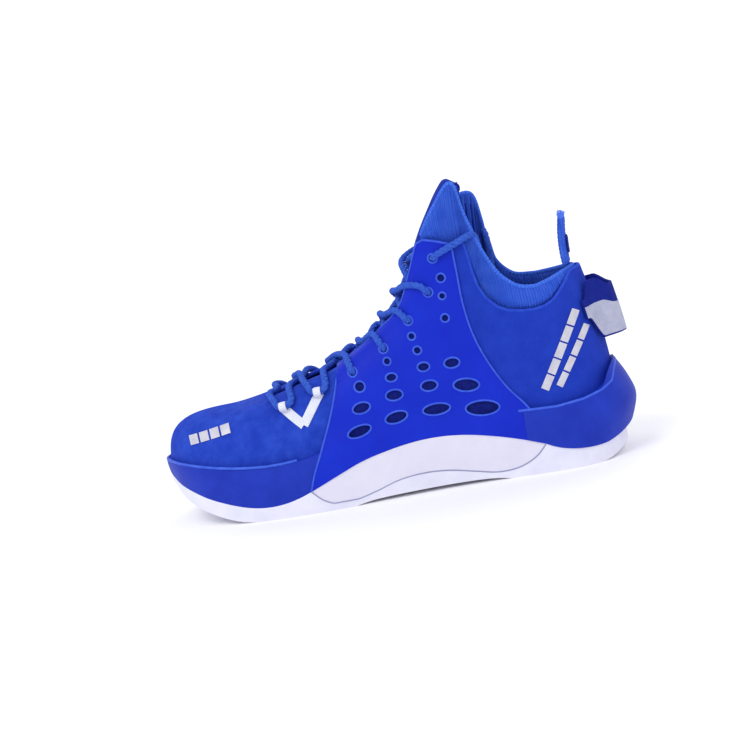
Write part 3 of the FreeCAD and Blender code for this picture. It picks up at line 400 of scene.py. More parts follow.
def patch(build, loop, holes, outer, inner, spacing=2.0, slot=0):
    """Shell over the part of the skin inside a loop of (station, share) and outside the holes."""
    flat, cut = loop * SPREAD, [h * SPREAD for h in holes]
    low, high = flat.min(0), flat.max(0)
    rows = []
    for j, y in enumerate(np.arange(low[1], high[1], spacing * 0.87)):
        row = np.arange(low[0] + (spacing / 2 if j % 2 else 0), high[0], spacing)
        rows.append(np.stack([row, np.full(len(row), y)], -1))
    points = np.concatenate(rows)
    keep = inside(points, flat)
    for h in cut:
        keep &= ~inside(points, h)
    border = np.concatenate([flat] + cut)
    points = points[keep]
    near = np.array([np.min(np.sum((border - q) ** 2, axis=1)) for q in points])
    points = points[near > (0.6 * spacing) ** 2]
    verts = np.concatenate([border, points])
    edges, base = [], 0
    for ring in [flat] + cut:
        edges += [(base + k, base + (k + 1) % len(ring)) for k in range(len(ring))]
        base += len(ring)
    found = delaunay_2d_cdt([Vector(v) for v in verts], edges, [], 1, 1e-5)
    uv = np.array([tuple(v) for v in found[0]])
    tris = np.array([f for f in found[2] if len(f) == 3])
    middle = uv[tris].mean(1)
    keep = inside(middle, flat)
    for h in cut:
        keep &= ~inside(middle, h)
    tris = tris[keep]
    u, t = uv[:, 0] / SPREAD[0], uv[:, 1] / SPREAD[1]
    top, under = offset(u, t, outer), offset(u, t, inner)
    faces = [tuple(f[::-1]) for f in tris] + [tuple(f + len(uv)) for f in tris]
    count = {}
    for f in tris:
        for a, b in ((f[0], f[1]), (f[1], f[2]), (f[2], f[0])):
            key = (min(a, b), max(a, b))
            count[key] = count.get(key, 0) + 1
    faces += [(a, b, b + len(uv), a + len(uv)) for (a, b), c in count.items() if c == 1]
    used = sorted({i for f in faces for i in f})
    renumber = {old: new for new, old in enumerate(used)}
    both = np.concatenate([top, under])[used]
    places = np.concatenate([uv, uv])[used]
    build.add(both, [tuple(renumber[i] for i in f) for f in faces], places, slot)


# ---------------------------------------------------------------- materials
def rgb(r, g, b):
    return tuple(((v / 255 + 0.055) / 1.055) ** 2.4 if v > 10 else v / 255 / 12.92 for v in (r, g, b)) + (1,)


class Nodes:
    """Small helper for writing node trees."""

    def __init__(self, tree):
        self.tree = tree

    def node(self, kind, values=None, **settings):
        node = self.tree.nodes.new(kind)
        for key, value in settings.items():
            setattr(node, key, value)
        for key, value in (values or {}).items():
            self.put(value, node.inputs[key])
        return node

    def put(self, value, socket):
        if isinstance(value, bpy.types.NodeSocket):
            self.tree.links.new(value, socket)
        else:
            socket.default_value = value

    def math(self, operation, a, b=0.0):
        return self.node("ShaderNodeMath", {0: a, 1: b}, operation=operation).outputs[0]

    def mix(self, factor, a, b):
        return self.node("ShaderNodeMix", {0: factor, 6: a, 7: b}, data_type="RGBA").outputs[2]


def group(name, inputs, outputs):
    tree = bpy.data.node_groups.new(name, "ShaderNodeTree")
    for label, kind in inputs:
        tree.interface.new_socket(label, in_out="INPUT", socket_type=kind)
    for label, kind in outputs:
        tree.interface.new_socket(label, in_out="OUTPUT", socket_type=kind)
    n = Nodes(tree)
    return tree, n, n.node("NodeGroupInput").outputs, n.node("NodeGroupOutput").inputs


def make_weave():
    """Plain weave: raised crossings in a checker of threads."""
    tree, n, given, wanted = group("plain_weave", [("Place", "NodeSocketVector"), ("Threads", "NodeSocketFloat")],
                                   [("Height", "NodeSocketFloat")])
    axes = n.node("ShaderNodeSeparateXYZ", {0: given["Place"]}).outputs
    x, y = n.math("MULTIPLY", axes[0], given["Threads"]), n.math("MULTIPLY", axes[1], given["Threads"])
    product = n.math("MULTIPLY", n.math("SINE", n.math("MULTIPLY", x, PI)), n.math("SINE", n.math("MULTIPLY", y, PI)))
    n.put(n.math("ADD", n.math("MULTIPLY", product, 0.5), 0.5), wanted["Height"])
    return tree


def make_knit():
    """Knitted columns of slanted stitches."""
    tree, n, given, wanted = group("knit_columns", [("Place", "NodeSocketVector"), ("Column", "NodeSocketFloat")],
                                   [("Height", "NodeSocketFloat"), ("Column shade", "NodeSocketFloat")])
    axes = n.node("ShaderNodeSeparateXYZ", {0: given["Place"]}).outputs
    x, y = n.math("DIVIDE", axes[0], given["Column"]), n.math("DIVIDE", axes[1], given["Column"])
    fold = n.math("PINGPONG", x, 0.5)
    slant = n.math("ADD", n.math("MULTIPLY", y, 1.25), n.math("MULTIPLY", fold, 1.4))
    stitch = n.math("ADD", n.math("MULTIPLY", n.math("SINE", n.math("MULTIPLY", slant, 2 * PI)), 0.3), 0.7)
    column = n.math("POWER", n.math("ABSOLUTE", n.math("SINE", n.math("MULTIPLY", x, PI))), 0.6)
    n.put(n.math("MULTIPLY", stitch, column), wanted["Height"])
    n.put(column, wanted["Column shade"])
    return tree


def make_variation():
    """Slow and fine changes of a colour."""
    tree, n, given, wanted = group("colour_variation", [("Place", "NodeSocketVector"), ("Colour", "NodeSocketColor"),
                                                        ("Other", "NodeSocketColor"), ("Size", "NodeSocketFloat")],
                                   [("Colour", "NodeSocketColor"), ("Mask", "NodeSocketFloat")])
    broad = n.node("ShaderNodeTexNoise", {"Vector": given["Place"], "Scale": given["Size"], "Detail": 5.0,
                                          "Roughness": 0.62}).outputs[0]
    mask = n.node("ShaderNodeMapRange", {0: broad, 1: 0.35, 2: 0.68}).outputs[0]
    n.put(n.mix(mask, given["Colour"], given["Other"]), wanted["Colour"])
    n.put(mask, wanted["Mask"])
    return tree


WEAVE, KNIT, VARIATION = make_weave(), make_knit(), make_variation()


def use(n, tree, **values):
    node = n.node("ShaderNodeGroup", node_tree=tree)
    for key, value in values.items():
        n.put(value, node.inputs[key])
    return node.outputs


def material(name, colour, other, rough, size=0.05, coat=0.0, sheen=0.0, metal=0.0, specular=0.5, surface="uv",
             height=None, bump=0.3, depth=0.0002, shade=None):
    """Principled material; height(n, place) gives the bump and shade(n, place, colour) may paint shade into the colour,
    darker in the low gaps between threads or stitches.
    """
    made = bpy.data.materials.new(name)
    made.use_nodes = True
    n = Nodes(made.node_tree)
    shader = made.node_tree.nodes["Principled BSDF"]
    if surface == "uv":
        place = n.node("ShaderNodeUVMap", uv_map="uv").outputs[0]
    else:
        where = n.node("ShaderNodeTexCoord").outputs["Object"]
        place = n.node("ShaderNodeVectorMath", {0: where, 1: (1000, 1000, 1000)}, operation="MULTIPLY").outputs[0]
    solid = n.node("ShaderNodeTexCoord").outputs["Object"]
    solid = n.node("ShaderNodeVectorMath", {0: solid, 1: (1000, 1000, 1000)}, operation="MULTIPLY").outputs[0]
    varied = use(n, VARIATION, Place=solid, Colour=rgb(*colour), Other=rgb(*other), Size=size)
    tint = varied["Colour"]
    # painted shade: shade darkens the colour in the gaps between threads or stitches
    if shade:
        tint = shade(n, place, tint)
    n.put(tint, shader.inputs["Base Color"])
    fine = n.node("ShaderNodeTexNoise", {"Vector": solid, "Scale": 0.9, "Detail": 4.0}).outputs[0]
    n.put(n.node("ShaderNodeMapRange", {0: fine, 1: 0.3, 2: 0.7, 3: rough - 0.06, 4: rough + 0.06}).outputs[0],
          shader.inputs["Roughness"])
    shader.inputs["Metallic"].default_value = metal
    shader.inputs["Specular IOR Level"].default_value = specular
    shader.inputs["Coat Weight"].default_value = coat
    shader.inputs["Coat Roughness"].default_value = 0.25
    shader.inputs["Sheen Weight"].default_value = sheen
    shader.inputs["Sheen Roughness"].default_value = 0.45
    shader.inputs["Sheen Tint"].default_value = rgb(*other)
    raised = height(n, place) if height else fine
    n.put(n.node("ShaderNodeBump", {"Strength": bump, "Distance": depth, "Height": raised}).outputs[0],
          shader.inputs["Normal"])
    return made


def weave_height(threads):
    return lambda n, place: use(n, WEAVE, Place=place, Threads=threads)["Height"]


def knit_height(column):
    return lambda n, place: use(n, KNIT, Place=place, Column=column)["Height"]


# Painted shade: the colour turns towards dark in the low gaps between knitted stitches.
def knit_gap_painted_shade(column, dark):
    def shade(n, place, colour):
        low = n.math("SUBTRACT", 1.0, use(n, KNIT, Place=place, Column=column)["Height"])
        return n.mix(n.math("MULTIPLY", low, 0.75), colour, rgb(*dark))
    return shade


# Painted shade: the colour turns towards dark, by amount, in the low gaps between woven threads.
def weave_gap_painted_shade(threads, dark, amount=0.6):
    def shade(n, place, colour):
        low = n.math("SUBTRACT", 1.0, use(n, WEAVE, Place=place, Threads=threads)["Height"])
        return n.mix(n.math("MULTIPLY", low, amount), colour, rgb(*dark))
    return shade


def grain_height(scale):
    def height(n, place):
        return n.node("ShaderNodeTexNoise", {"Vector": place, "Scale": scale, "Detail": 6.0, "Roughness": 0.6}).outputs[0]
    return height


def bead_height(scale):
    def height(n, place):
        return n.node("ShaderNodeTexVoronoi", {"Vector": place, "Scale": scale}).outputs[0]
    return height


M = {
    "textile": material("textile_blue", (24, 54, 176), (32, 64, 188), 0.85, 0.09, sheen=0.08, specular=0.15, bump=0.45, depth=0.00025,
                        height=weave_height(1.35), shade=weave_gap_painted_shade(1.35, (14, 38, 146), 0.5)),
    "vamp": material("vamp_blue", (28, 58, 176), (44, 78, 198), 0.9, 0.11, sheen=0.14, specular=0.12, bump=0.4, depth=0.00025,
                     height=weave_height(1.6), shade=weave_gap_painted_shade(1.6, (20, 44, 150), 0.4)),
    "film": material("film_blue", (6, 34, 182), (10, 42, 192), 0.5, 0.03, coat=0.0, specular=0.14, bump=0.12, depth=0.0001,
                     height=grain_height(1.2)),
    # lighter blue of the film's edge beads: painted highlight
    "bead": material("bead_painted_highlight_blue", (44, 78, 206), (58, 94, 216), 0.5, 0.2, specular=0.25, bump=0.1, depth=0.0001,
                     height=grain_height(1.5)),
    "vent": material("vent_dark", (20, 30, 118), (30, 44, 142), 0.9, 0.5, specular=0.05, bump=0.6, depth=0.0003,
                     height=weave_height(1.1), shade=weave_gap_painted_shade(1.1, (8, 14, 68), 0.75)),
    "knit": material("knit_blue", (52, 94, 214), (70, 114, 228), 0.9, 0.1, sheen=0.15, specular=0.1, bump=0.8, depth=0.0005,
                     height=knit_height(1.9), shade=knit_gap_painted_shade(1.9, (22, 50, 168))),
    "lining": material("lining_blue", (20, 46, 156), (28, 56, 172), 0.92, 0.1, sheen=0.08, specular=0.1, bump=0.5, depth=0.0003,
                       height=weave_height(0.9), shade=weave_gap_painted_shade(0.9, (8, 20, 108), 0.7)),
    "tongue": material("tongue_blue", (22, 44, 152), (34, 62, 176), 0.9, 0.1, sheen=0.12, specular=0.1, bump=0.8, depth=0.0004,
                       height=knit_height(2.3), shade=knit_gap_painted_shade(2.3, (10, 28, 130))),
    "lace": material("lace_blue", (44, 84, 192), (70, 112, 214), 0.8, 0.6, sheen=0.12, specular=0.15, bump=0.7, depth=0.0003,
                     height=weave_height(1.9), shade=weave_gap_painted_shade(1.9, (24, 62, 176), 0.6)),
    # lighter knit for the collar's top edge: painted highlight along the rim
    "collar_rim": material("collar_rim_painted_highlight", (62, 108, 224), (84, 132, 236), 0.9, 0.5, sheen=0.2, specular=0.1, bump=0.8,
                           depth=0.0004, height=knit_height(2.2), shade=knit_gap_painted_shade(2.2, (34, 74, 200))),
    # piping blue: the binding's own colour, made lighter as painted highlight on its rounded edge
    "piping": material("piping_blue_and_painted_highlight", (34, 68, 190), (48, 86, 206), 0.8, 0.3, sheen=0.12, specular=0.15, bump=0.5, depth=0.0002,
                       height=weave_height(1.5), shade=weave_gap_painted_shade(1.5, (20, 50, 180), 0.5)),
    "webbing": material("webbing_white", (232, 234, 242), (220, 224, 238), 0.8, 0.2, specular=0.2, bump=0.6, depth=0.0003,
                        height=weave_height(1.1), shade=weave_gap_painted_shade(1.1, (176, 184, 214), 0.5)),
    "pull": material("pull_blue", (16, 32, 136), (22, 42, 152), 0.8, 0.2, sheen=0.08, specular=0.15, bump=0.7, depth=0.0003,
                     height=weave_height(1.2), shade=weave_gap_painted_shade(1.2, (6, 14, 92), 0.6)),
    "silver_web": material("silver_webbing", (186, 188, 208), (164, 168, 198), 0.5, 0.2, metal=0.2, specular=0.3, bump=0.6,
                           depth=0.0002, height=weave_height(1.2), shade=weave_gap_painted_shade(1.2, (140, 142, 168), 0.5)),
    "rim": material("rubber_blue", (14, 42, 164), (22, 52, 178), 0.55, 0.05, specular=0.2, surface="object", bump=0.2,
                    depth=0.00015, height=grain_height(1.6)),
    # lighter blue of the sole ledge beads: painted highlight on the rim and heel cup tops
    "ledge": material("ledge_painted_highlight_blue", (46, 82, 206), (60, 98, 216), 0.55, 0.2, specular=0.25, surface="uv", bump=0.2, depth=0.0001,
                      height=grain_height(1.8)),
    "plate": material("plate_white", (218, 216, 232), (210, 209, 228), 0.4, 0.04, coat=0.1, specular=0.35, surface="object", bump=0.08,
                      depth=0.0001, height=grain_height(0.8)),
    "plate_edge": material("plate_edge_grey", (150, 150, 186), (136, 138, 176), 0.5, 0.1, specular=0.25, bump=0.1,
                           depth=0.0001, height=grain_height(1.0)),
    "outsole": material("outsole_white", (224, 224, 240), (214, 215, 234), 0.55, 0.06, specular=0.3, surface="object", bump=0.3,
                        depth=0.0002, height=grain_height(2.2)),
    "silver": material("silver_film", (204, 203, 214), (186, 186, 202), 0.4, 0.15, metal=0.35, surface="object",
                       bump=0.35, depth=0.0001, height=bead_height(4.0)),
    "foam": material("foam_white", (228, 230, 236), (214, 216, 226), 0.8, 0.1, surface="object", bump=0.4, depth=0.0002,
                     height=bead_height(1.6)),
    "board": material("board_grey", (120, 122, 130), (140, 142, 150), 0.9, 0.2, surface="object", bump=0.5, depth=0.0002,
                      height=grain_height(1.4)),
    "carbon": material("shank_grey", (40, 42, 48), (54, 56, 62), 0.35, 0.3, coat=0.4, surface="object", bump=0.3,
                       depth=0.0001, height=weave_height(0.5)),
    "stiff": material("stiffener_grey", (90, 96, 130), (110, 116, 150), 0.7, 0.2, surface="object", bump=0.3,
                      depth=0.0002, height=grain_height(1.0)),
    "insole": material("insole_blue", (24, 50, 166), (32, 62, 182), 0.9, 0.1, sheen=0.08, specular=0.1, bump=0.5, depth=0.0003,
                       height=weave_height(1.0), shade=weave_gap_painted_shade(1.0, (12, 30, 134), 0.6)),
    "aglet": material("aglet_blue", (30, 62, 190), (44, 80, 206), 0.22, 0.3, coat=0.6, surface="object", bump=0.1,
                      depth=0.0001, height=grain_height(1.0)),
    "fray": material("fray_blue", (70, 120, 238), (104, 150, 246), 0.8, 0.5, sheen=0.4, bump=0.4, depth=0.0001,
                     height=weave_height(2.4)),
}


def paint(node, made):
    """Give a CAD node's object a material."""
    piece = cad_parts[node]
    if not piece.material_slots:
        piece.data.materials.append(made)
    for place in piece.material_slots:
        place.material = made


# ---------------------------------------------------------------- upper textile
def textile_wall(name, us, low, high, made, replaces, thick=1.8, rows=44, rounding=0.0):
    """Textile wall between shares low and high of each rib, open at the bottom, folded over its top edge."""
    build = Build()
    share = np.linspace(0, 1, rows)
    t = low[:, None] + (high - low)[:, None] * share[None]
    outer = offset(us[:, None] + 0 * t, t, 0.0)
    outer += normal(us[:, None] + 0 * t, t) * rounding * (np.sin(outer[..., :1] / 17) * np.cos(outer[..., 2:3] / 13))
    inner = offset(us[:, None] + 0 * t, t, -thick)
    rise = unit(outer[:, -1] - outer[:, -4])
    edge = (outer[:, -1] + inner[:, -1])[:, None] / 2 + rise[:, None] * 0.35
    grid = np.concatenate([outer, edge, inner[:, ::-1]], axis=1)
    mid = rows // 2
    along = length_of(outer[:, mid])
    height = np.concatenate([np.zeros((len(us), 1)), np.cumsum(np.linalg.norm(np.diff(grid, axis=1), axis=2), axis=1)], 1)
    build.grid(grid, np.stack([np.broadcast_to(along[:, None], height.shape), height], -1))
    return build.finish(name, made, replaces=replaces, sharp=60)


us = np.linspace(16.0, 32.0, 300)
textile_wall("vamp_textile", us, 0 * us + 0.12, 0 * us + 1, M["vamp"], ["vamp"])
for side, us in (("lateral", np.linspace(0.015, 16.0, 420)), ("medial", np.linspace(32.0, COUNT - 0.015, 420))):
    textile_wall("quarter_textile_" + side, us, 0 * us + 0.1, crossing(us, COLLAR_LINE), M["textile"],
                 ["quarter_" + side], rows=60)


def edge_tube(build, points, radius, sides=8, closed=False, slot=0, flat=1.0):
    build.tube(points, radius, sides=sides, closed=closed, slot=slot, flat=flat)


def on_line(points, side, depth, step=1.2):
    """Points of the skin under a side view line, moved out by depth."""
    p = line(points, step)
    u, t = find(p[:, 0], p[:, 1], side)
    return offset(u, t, depth)


# stitched binding round the collar line, and the back seam, in a lighter blue that is partly the binding's own colour
# and partly painted highlight on its rounded edge
build = Build()
for us in (np.linspace(0.02, 11.9, 330), np.linspace(COUNT - 0.02, COUNT - 11.9, 330)):
    build.tube(resample(offset(us, crossing(us, COLLAR_LINE), -0.7), 1.0), 1.05, sides=10)
seam = np.linspace(0.42, 1.0, 60)
build.tube(offset(0.0 * seam, seam, -0.15), 0.9, sides=10, flat=0.6)
build.finish("collar_binding", M["piping"])

# ---------------------------------------------------------------- moulded film with its holes
def film_depth(p):
    skirt = 4.2 - 0.6 * smooth(-40, 20, p[..., 0])
    return 1.24 + skirt * (1 - smooth(28, 52, p[..., 2]))


def edge_at(x, side, low=9.0, high=24.0):
    us = np.linspace(low, high, 1501)
    us = us if side < 0 else COUNT - us
    return us[np.argmin(abs(skin(us, 1.0)[:, 0] - x))]


def ellipse(x, z, a, b, tilt, count=26):
    k = np.linspace(0, 2 * PI, count, endpoint=False)
    c, s = math.cos(math.radians(tilt)), math.sin(math.radians(tilt))
    return x + a * np.cos(k) * c - b * np.sin(k) * s, z + a * np.cos(k) * s + b * np.sin(k) * c


def film(side, sign):
    front = line(OVERLAY_FRONT, 1.6)
    u, t = find(front[:, 0], front[:, 1], sign)
    parts = [np.stack([u, t], -1)]
    start, stop = edge_at(-29, sign), edge_at(31.5 if sign < 0 else 33.5, sign)
    count = 90
    us = np.linspace(start, stop, count)
    ts = np.minimum(0.998, crossing(us, [(-60, 300), (25, 300), (26, 151.5), (36, 151.6), (60, 148)]))
    parts.append(np.stack([us, ts], -1))
    for run in (OVERLAY_TOP, OVERLAY_BACK):
        p = line(run, 1.6)
        u, t = find(p[:, 0], p[:, 1], sign)
        parts.append(np.stack([u, t], -1)[(0 if run is OVERLAY_TOP else 1):])
    p = line(PLATE_TOP, 1.6)[::-1][1:-1]
    u, t = find(p[:, 0], p[:, 1], sign)
    parts.append(np.stack([u, t], -1))
    loop = np.concatenate(parts)
    apart = np.linalg.norm((loop - np.roll(loop, 1, 0)) * SPREAD, axis=1)
    loop = loop[apart > 0.35]
    holes, rings = [], []
    for x, z, a, b, tilt in VENTS + [(x, z, EYELET_R, EYELET_R, 0) for x, z in EYELETS]:
        ex, ez = ellipse(x, z, a, b, tilt)
        u, t = find(ex, ez, sign)
        holes.append(np.stack([u, t], -1))
    build = Build()
    patch(build, loop, holes, film_depth, 0.24, spacing=1.9)
    build.finish("film_" + side, M["film"], replaces=["overlay_" + side], sharp=35, weld=False)
    # raised beads round the holes and along the edges, in a lighter blue that paints their highlight
    beads = Build()
    for hole in holes:
        u, t = hole[:, 0], hole[:, 1]
        p = offset(u, t, film_depth)
        beads.tube(p, 0.62, sides=8, closed=True, guide=normal(u, t), flat=0.85)
    border = np.concatenate(parts[:3] + [parts[3][:-12]])
    p = offset(border[:, 0], border[:, 1], film_depth)
    p = resample(p, 1.2)
    beads.tube(p, 0.6, sides=8)
    beads.finish("film_beads_" + side, M["bead"])
    # dark mesh behind the holes
    mesh = Build()
    for x, z, a, b, tilt in VENTS + [(x, z, EYELET_R, EYELET_R, 0) for x, z in EYELETS]:
        rings = []
        for share in (1.08, 0.8, 0.5, 0.2, 0.02):
            ex, ez = ellipse(x, z, a * share, b * share, tilt, 24)
            u, t = find(ex, ez, sign)
            p = offset(u, t, 0.16)
            rings.append(np.concatenate([p, p[:1]]))
        rings = np.array(rings)
        mesh.grid(rings, rings[..., [0, 2]])
    mesh.finish("vent_mesh_" + side, M["vent"])


film("lateral", -1)
film("medial", 1)

# ---------------------------------------------------------------- collar, lining
def collar():
    us = np.concatenate([np.arange(-12.0, -9, 0.045), np.arange(-9, 9, 0.05), np.arange(9, 12.0, 0.045)])
    line_share = crossing(us, COLLAR_LINE)
    low = np.minimum(crossing(us, COLLAR_LOW), 0.965)
    band = 1 - line_share
    rows = 26
    share = np.linspace(0, 1, rows)
    t = low[:, None] + (0.995 - low)[:, None] * share[None]
    part = np.clip((t - line_share[:, None]) / np.maximum(band[:, None], 0.01), 0, 1)
    swell = np.minimum(1.9, band * 16)[:, None]
    depth = -2.35 - 1.0 * smooth(0.02, 0.08, band)[:, None] * (1 - smooth(0.0, 0.35, part)) + swell * np.sin(
        np.clip(part, 0, 1) * PI) ** 0.8 * (part > 0)
    grid_u = us[:, None] + 0 * t
    tip_u = us[:, None]
    rise = unit(skin(us, 0.995) - skin(us, 0.93))[:, None]
    rim = offset(tip_u, 0.995 + 0 * tip_u, 0.0)
    out = normal(tip_u, 0.995 + 0 * tip_u)
    around = np.linspace(0.12, 0.95, 9)[None] * PI
    roll = rim + out * (-4.15 + 1.85 * np.cos(around))[..., None] + rise * (2.1 * np.sin(around) - 0.4)[..., None]
    inner_t = 0.995 - (0.995 - np.minimum(low + 0.01, 0.96))[:, None] * np.linspace(0.03, 0.9, 12)[None]
    inner = offset(us[:, None] + 0 * inner_t, inner_t, -6.15)
    outer = offset(grid_u, t, depth)
    grid = np.concatenate([outer, roll, inner], axis=1)
    along = length_of(rim[:, 0])
    ribs = 0.28 * np.sin(along * 2 * PI / 3.1)[:, None, None]
    across = unit(np.cross(np.gradient(grid, axis=1), np.gradient(grid, axis=0)))
    grid = grid + across * ribs
    height = np.concatenate([np.zeros((len(us), 1)), np.cumsum(np.linalg.norm(np.diff(grid, axis=1), axis=2), axis=1)], 1)
    build = Build()
    build.grid(grid, np.stack([np.broadcast_to(along[:, None], height.shape), height], -1))
    piece = build.finish("collar_roll", M["knit"], replaces=["collar_knit"], sharp=75)
    # knitted edge along the top of the roll, in a lighter knit that paints the rim's highlight
    edge = Build()
    edge.tube(resample(roll[:, 4] + rise[:, 0] * 0.1, 0.9), 1.55, sides=12)
    edge.finish("collar_edge", M["collar_rim"])


collar()

us = np.linspace(0, COUNT, 385)
crown = np.minimum(table([(0, 0.97), (16.5, 1.0), (18, 0.9), (24, 0.93)], np.minimum(us, COUNT - us)) - 0.02,
                   np.where(np.minimum(us, COUNT - us) > 9.2, crossing(us, LACE_ZONE) - 0.02, 1))
low = crossing(us, [(x, z + 1.6) for x, z in FOOTBED])
build = Build()
t = low[:, None] + (crown - low)[:, None] * np.linspace(0, 1, 36)[None]
grid = np.concatenate([offset(us[:, None] + 0 * t, t, -4.1), offset(us[:, None] + 0 * t, t, -6.0)[:, ::-1]], axis=1)
build.grid(grid)
build.finish("bootie_inside", M["lining"], replaces=["bootie_lining"], sharp=70)

# ---------------------------------------------------------------- sockliner
us = np.linspace(0.35, 23.65, 170)
ends = [offset(us, 0.28 + 0 * us, -6.9), offset(COUNT - us, 0.28 + 0 * us, -6.9)]
v = np.linspace(-1, 1, 41)
mid, half = (ends[0] + ends[1]) / 2, (ends[1] - ends[0]) / 2
flat = mid[:, None, :2] + half[:, None, :2] * np.sin(v * PI / 2)[None, :, None]
edge = np.clip(1 - abs(np.sin(v * PI / 2)), 0, 1)[None]
base = table(FOOTBED, flat[..., 0]) + 1.7
thick = 4.7 * np.clip(edge * 30, 0, 1) ** 0.5 + 1.2 * (1 - smooth(0, 0.35, edge)) * np.clip(edge * 30, 0, 1)
top = np.concatenate([flat, (base + thick)[..., None]], -1)
under = np.concatenate([flat, base[..., None]], -1)
build = Build()
build.grid(top, flat)
build.grid(under, flat, flip=True)
piece = build.finish("sockliner_pad", M["insole"], body="insole", replaces=["sockliner"], sharp=50)

# ---------------------------------------------------------------- tongue
TONGUE_LINE = line(TONGUE, 0.5)
TONGUE_WAY = unit(np.gradient(TONGUE_LINE, axis=0))


def tongue_point(x, y, height):
    x, y, height = np.broadcast_arrays(*[np.asarray(a, float) for a in (x, y, height)])
    z = np.interp(x, TONGUE_LINE[:, 0], TONGUE_LINE[:, 1])
    dx, dz = (np.interp(x, TONGUE_LINE[:, 0], TONGUE_WAY[:, k]) for k in (0, 1))
    width, droop = table(TONGUE_WIDTH, x), table(TONGUE_DROOP, x)
    v = y / width
    up = np.stack([-dz, 0 * dx, dx], -1)
    lean = up.copy()
    lean[..., 1] += 2 * droop * v / width
    return (np.stack([x, y, z], -1) - up * (droop * v * v)[..., None] + unit(lean) * height[..., None])


def tongue():
    at = TONGUE_LINE[:, 0]
    s = length_of(np.stack([at, TONGUE_LINE[:, 1], 0 * at], -1))
    rows = np.linspace(0, s[-1], 170)
    x = np.interp(rows, s, at)
    end = np.clip(np.minimum(rows + 0.6, s[-1] - rows + 0.25) / 4.0, 0, 1)
    rounding = np.sqrt(np.clip(1 - (1 - end) ** 2, 0, 1))
    thick = (4.4 + 1.0 * smooth(26, 31, x)) * np.maximum(0.12, rounding)
    width = table(TONGUE_WIDTH, x) * (0.86 + 0.14 * rounding) - 0.3
    angle = np.linspace(0, 2 * PI, 73)
    c, q = np.cos(angle), np.sin(angle)
    across = np.sign(c) * abs(c) ** 0.55
    upward = np.sign(q) * abs(q) ** 0.6
    middle = (4.4 + 1.0 * smooth(26, 31, x))[:, None] / 2
    y = width[:, None] * across[None]
    ribs = 0.2 * np.cos(y * 2 * PI / 3.4)
    grid = tongue_point(x[:, None] + 0 * y, y, -middle + (thick[:, None] / 2 - 0.2) * upward[None] + ribs * upward[None])
    around = np.where(upward[None] > 0, y, 60 - y)
    build = Build()
    build.grid(grid, np.stack([around, np.broadcast_to(rows[:, None], around.shape)], -1))
    for k in (0, -1):
        fan = grid[k, :-1]
        build.add(np.vstack([fan, fan.mean(0)[None]]), [(i, (i + 1) % 72, 72) for i in range(72)])
    piece = build.finish("tongue_pad", M["tongue"], body=None, replaces=["tongue", "tongue_flap"], sharp=80)
    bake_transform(piece)
    edge = Build()
    for sign in (-1, 1):
        keep = x < 200
        edge.tube(resample(tongue_point(x[keep], sign * (width[keep] - 1.0), -0.4 - (1 - rounding[keep]) * 1.5), 0.9),
                  0.8, sides=8)
    # tongue binding in the piping blue, partly lighter as painted highlight
    binding = edge.finish("tongue_binding", M["piping"], body=None)
    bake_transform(binding)


tongue()

# ---------------------------------------------------------------- lace
def nurbs(points):
    """The smooth line of a route, in millimetres, from control points in millimetres."""
    data = bpy.data.curves.new("route", "CURVE")
    data.dimensions = "3D"
    data.resolution_u = 24
    spline = data.splines.new("NURBS")
    spline.points.add(len(points) - 1)
    for point, p in zip(spline.points, points):
        point.co = (p[0] * MM, p[1] * MM, p[2] * MM, 1)
    spline.order_u = 3
    spline.use_endpoint_u = True
    route = bpy.data.objects.new("route", data)
    bpy.context.scene.collection.objects.link(route)
    bpy.context.view_layer.update()
    mesh = bpy.data.meshes.new_from_object(route)
    found = np.array([v.co[:] for v in mesh.vertices]) / MM
    bpy.data.meshes.remove(mesh)
    bpy.data.objects.remove(route)
    bpy.data.curves.remove(data)
    return found


def rope(build, path, radius=LACE_R, pitch=10.5, strands=3):
    """Twisted strands along a path."""
    p = resample(path, 0.75)
    d = unit(np.gradient(p, axis=0))
    first, second = frames(p, d)
    s = length_of(p)
    thin = radius * 0.6
    for k in range(strands):
        a = (s / pitch + k / strands)[:, None] * 2 * PI
        build.tube(p + (first * np.cos(a) + second * np.sin(a)) * (radius - thin), thin, sides=9)


def spot(x, z, sign):
    u, t = find(x, z, sign)
    return u[0], t[0]


def eyelet_path(index, sign):
    u, t = spot(*EYELETS[index], sign)
    near = u + np.linspace(-3, 3, 121)
    edge = near[np.argmin(np.linalg.norm(skin(near, 1.0) - skin(u, t), axis=1))]
    s = np.linspace(0, 1, 251)
    away = np.linalg.norm(skin(u + (edge - u) * s, t + (1 - t) * s) - skin(u, t), axis=1)
    k = np.argmax(away >= 6.0) if away.max() >= 6 else 250
    turn = (u + (edge - u) * s[k], t + (1 - t) * s[k])
    inner, under = offset(*turn, LACE_UNDER), offset(edge, 0.985, LACE_UNDER)
    return {"over": [offset(edge, 1.0, LACE_OVER), offset(*turn, LACE_OVER)],
            "hole": [offset(u, t, LACE_OVER - 0.1), offset(u, t, LACE_UNDER)],
            "inside": inner, "under": under, "joint": (inner + under) / 2}


def loop_path(place, sign):
    u, t = spot(*place, sign)
    n = normal(u, t)
    return offset(u, t, LOOP_RISE), unit(np.array((1.0, 0, 0)) - n * n[0])


def climb(place, heel_side, sign, edge_x, depth=2.55):
    start, way = loop_path(place, sign)
    step = way * (3.6 if heel_side else -3.6)
    u, t = spot(place[0] + (6.0 if heel_side else -6.0), place[1] + 3.6, sign)
    edge = edge_at(edge_x, sign, 14.0, 24.0)
    found = [start, start + step, offset(u, t, depth + 0.5)]
    for share in (0.36, 0.7):
        found.append(offset(u + (edge - u) * share, t + (1 - t) * share, depth + 0.15))
    return found + [offset(edge, 1.0, depth)]


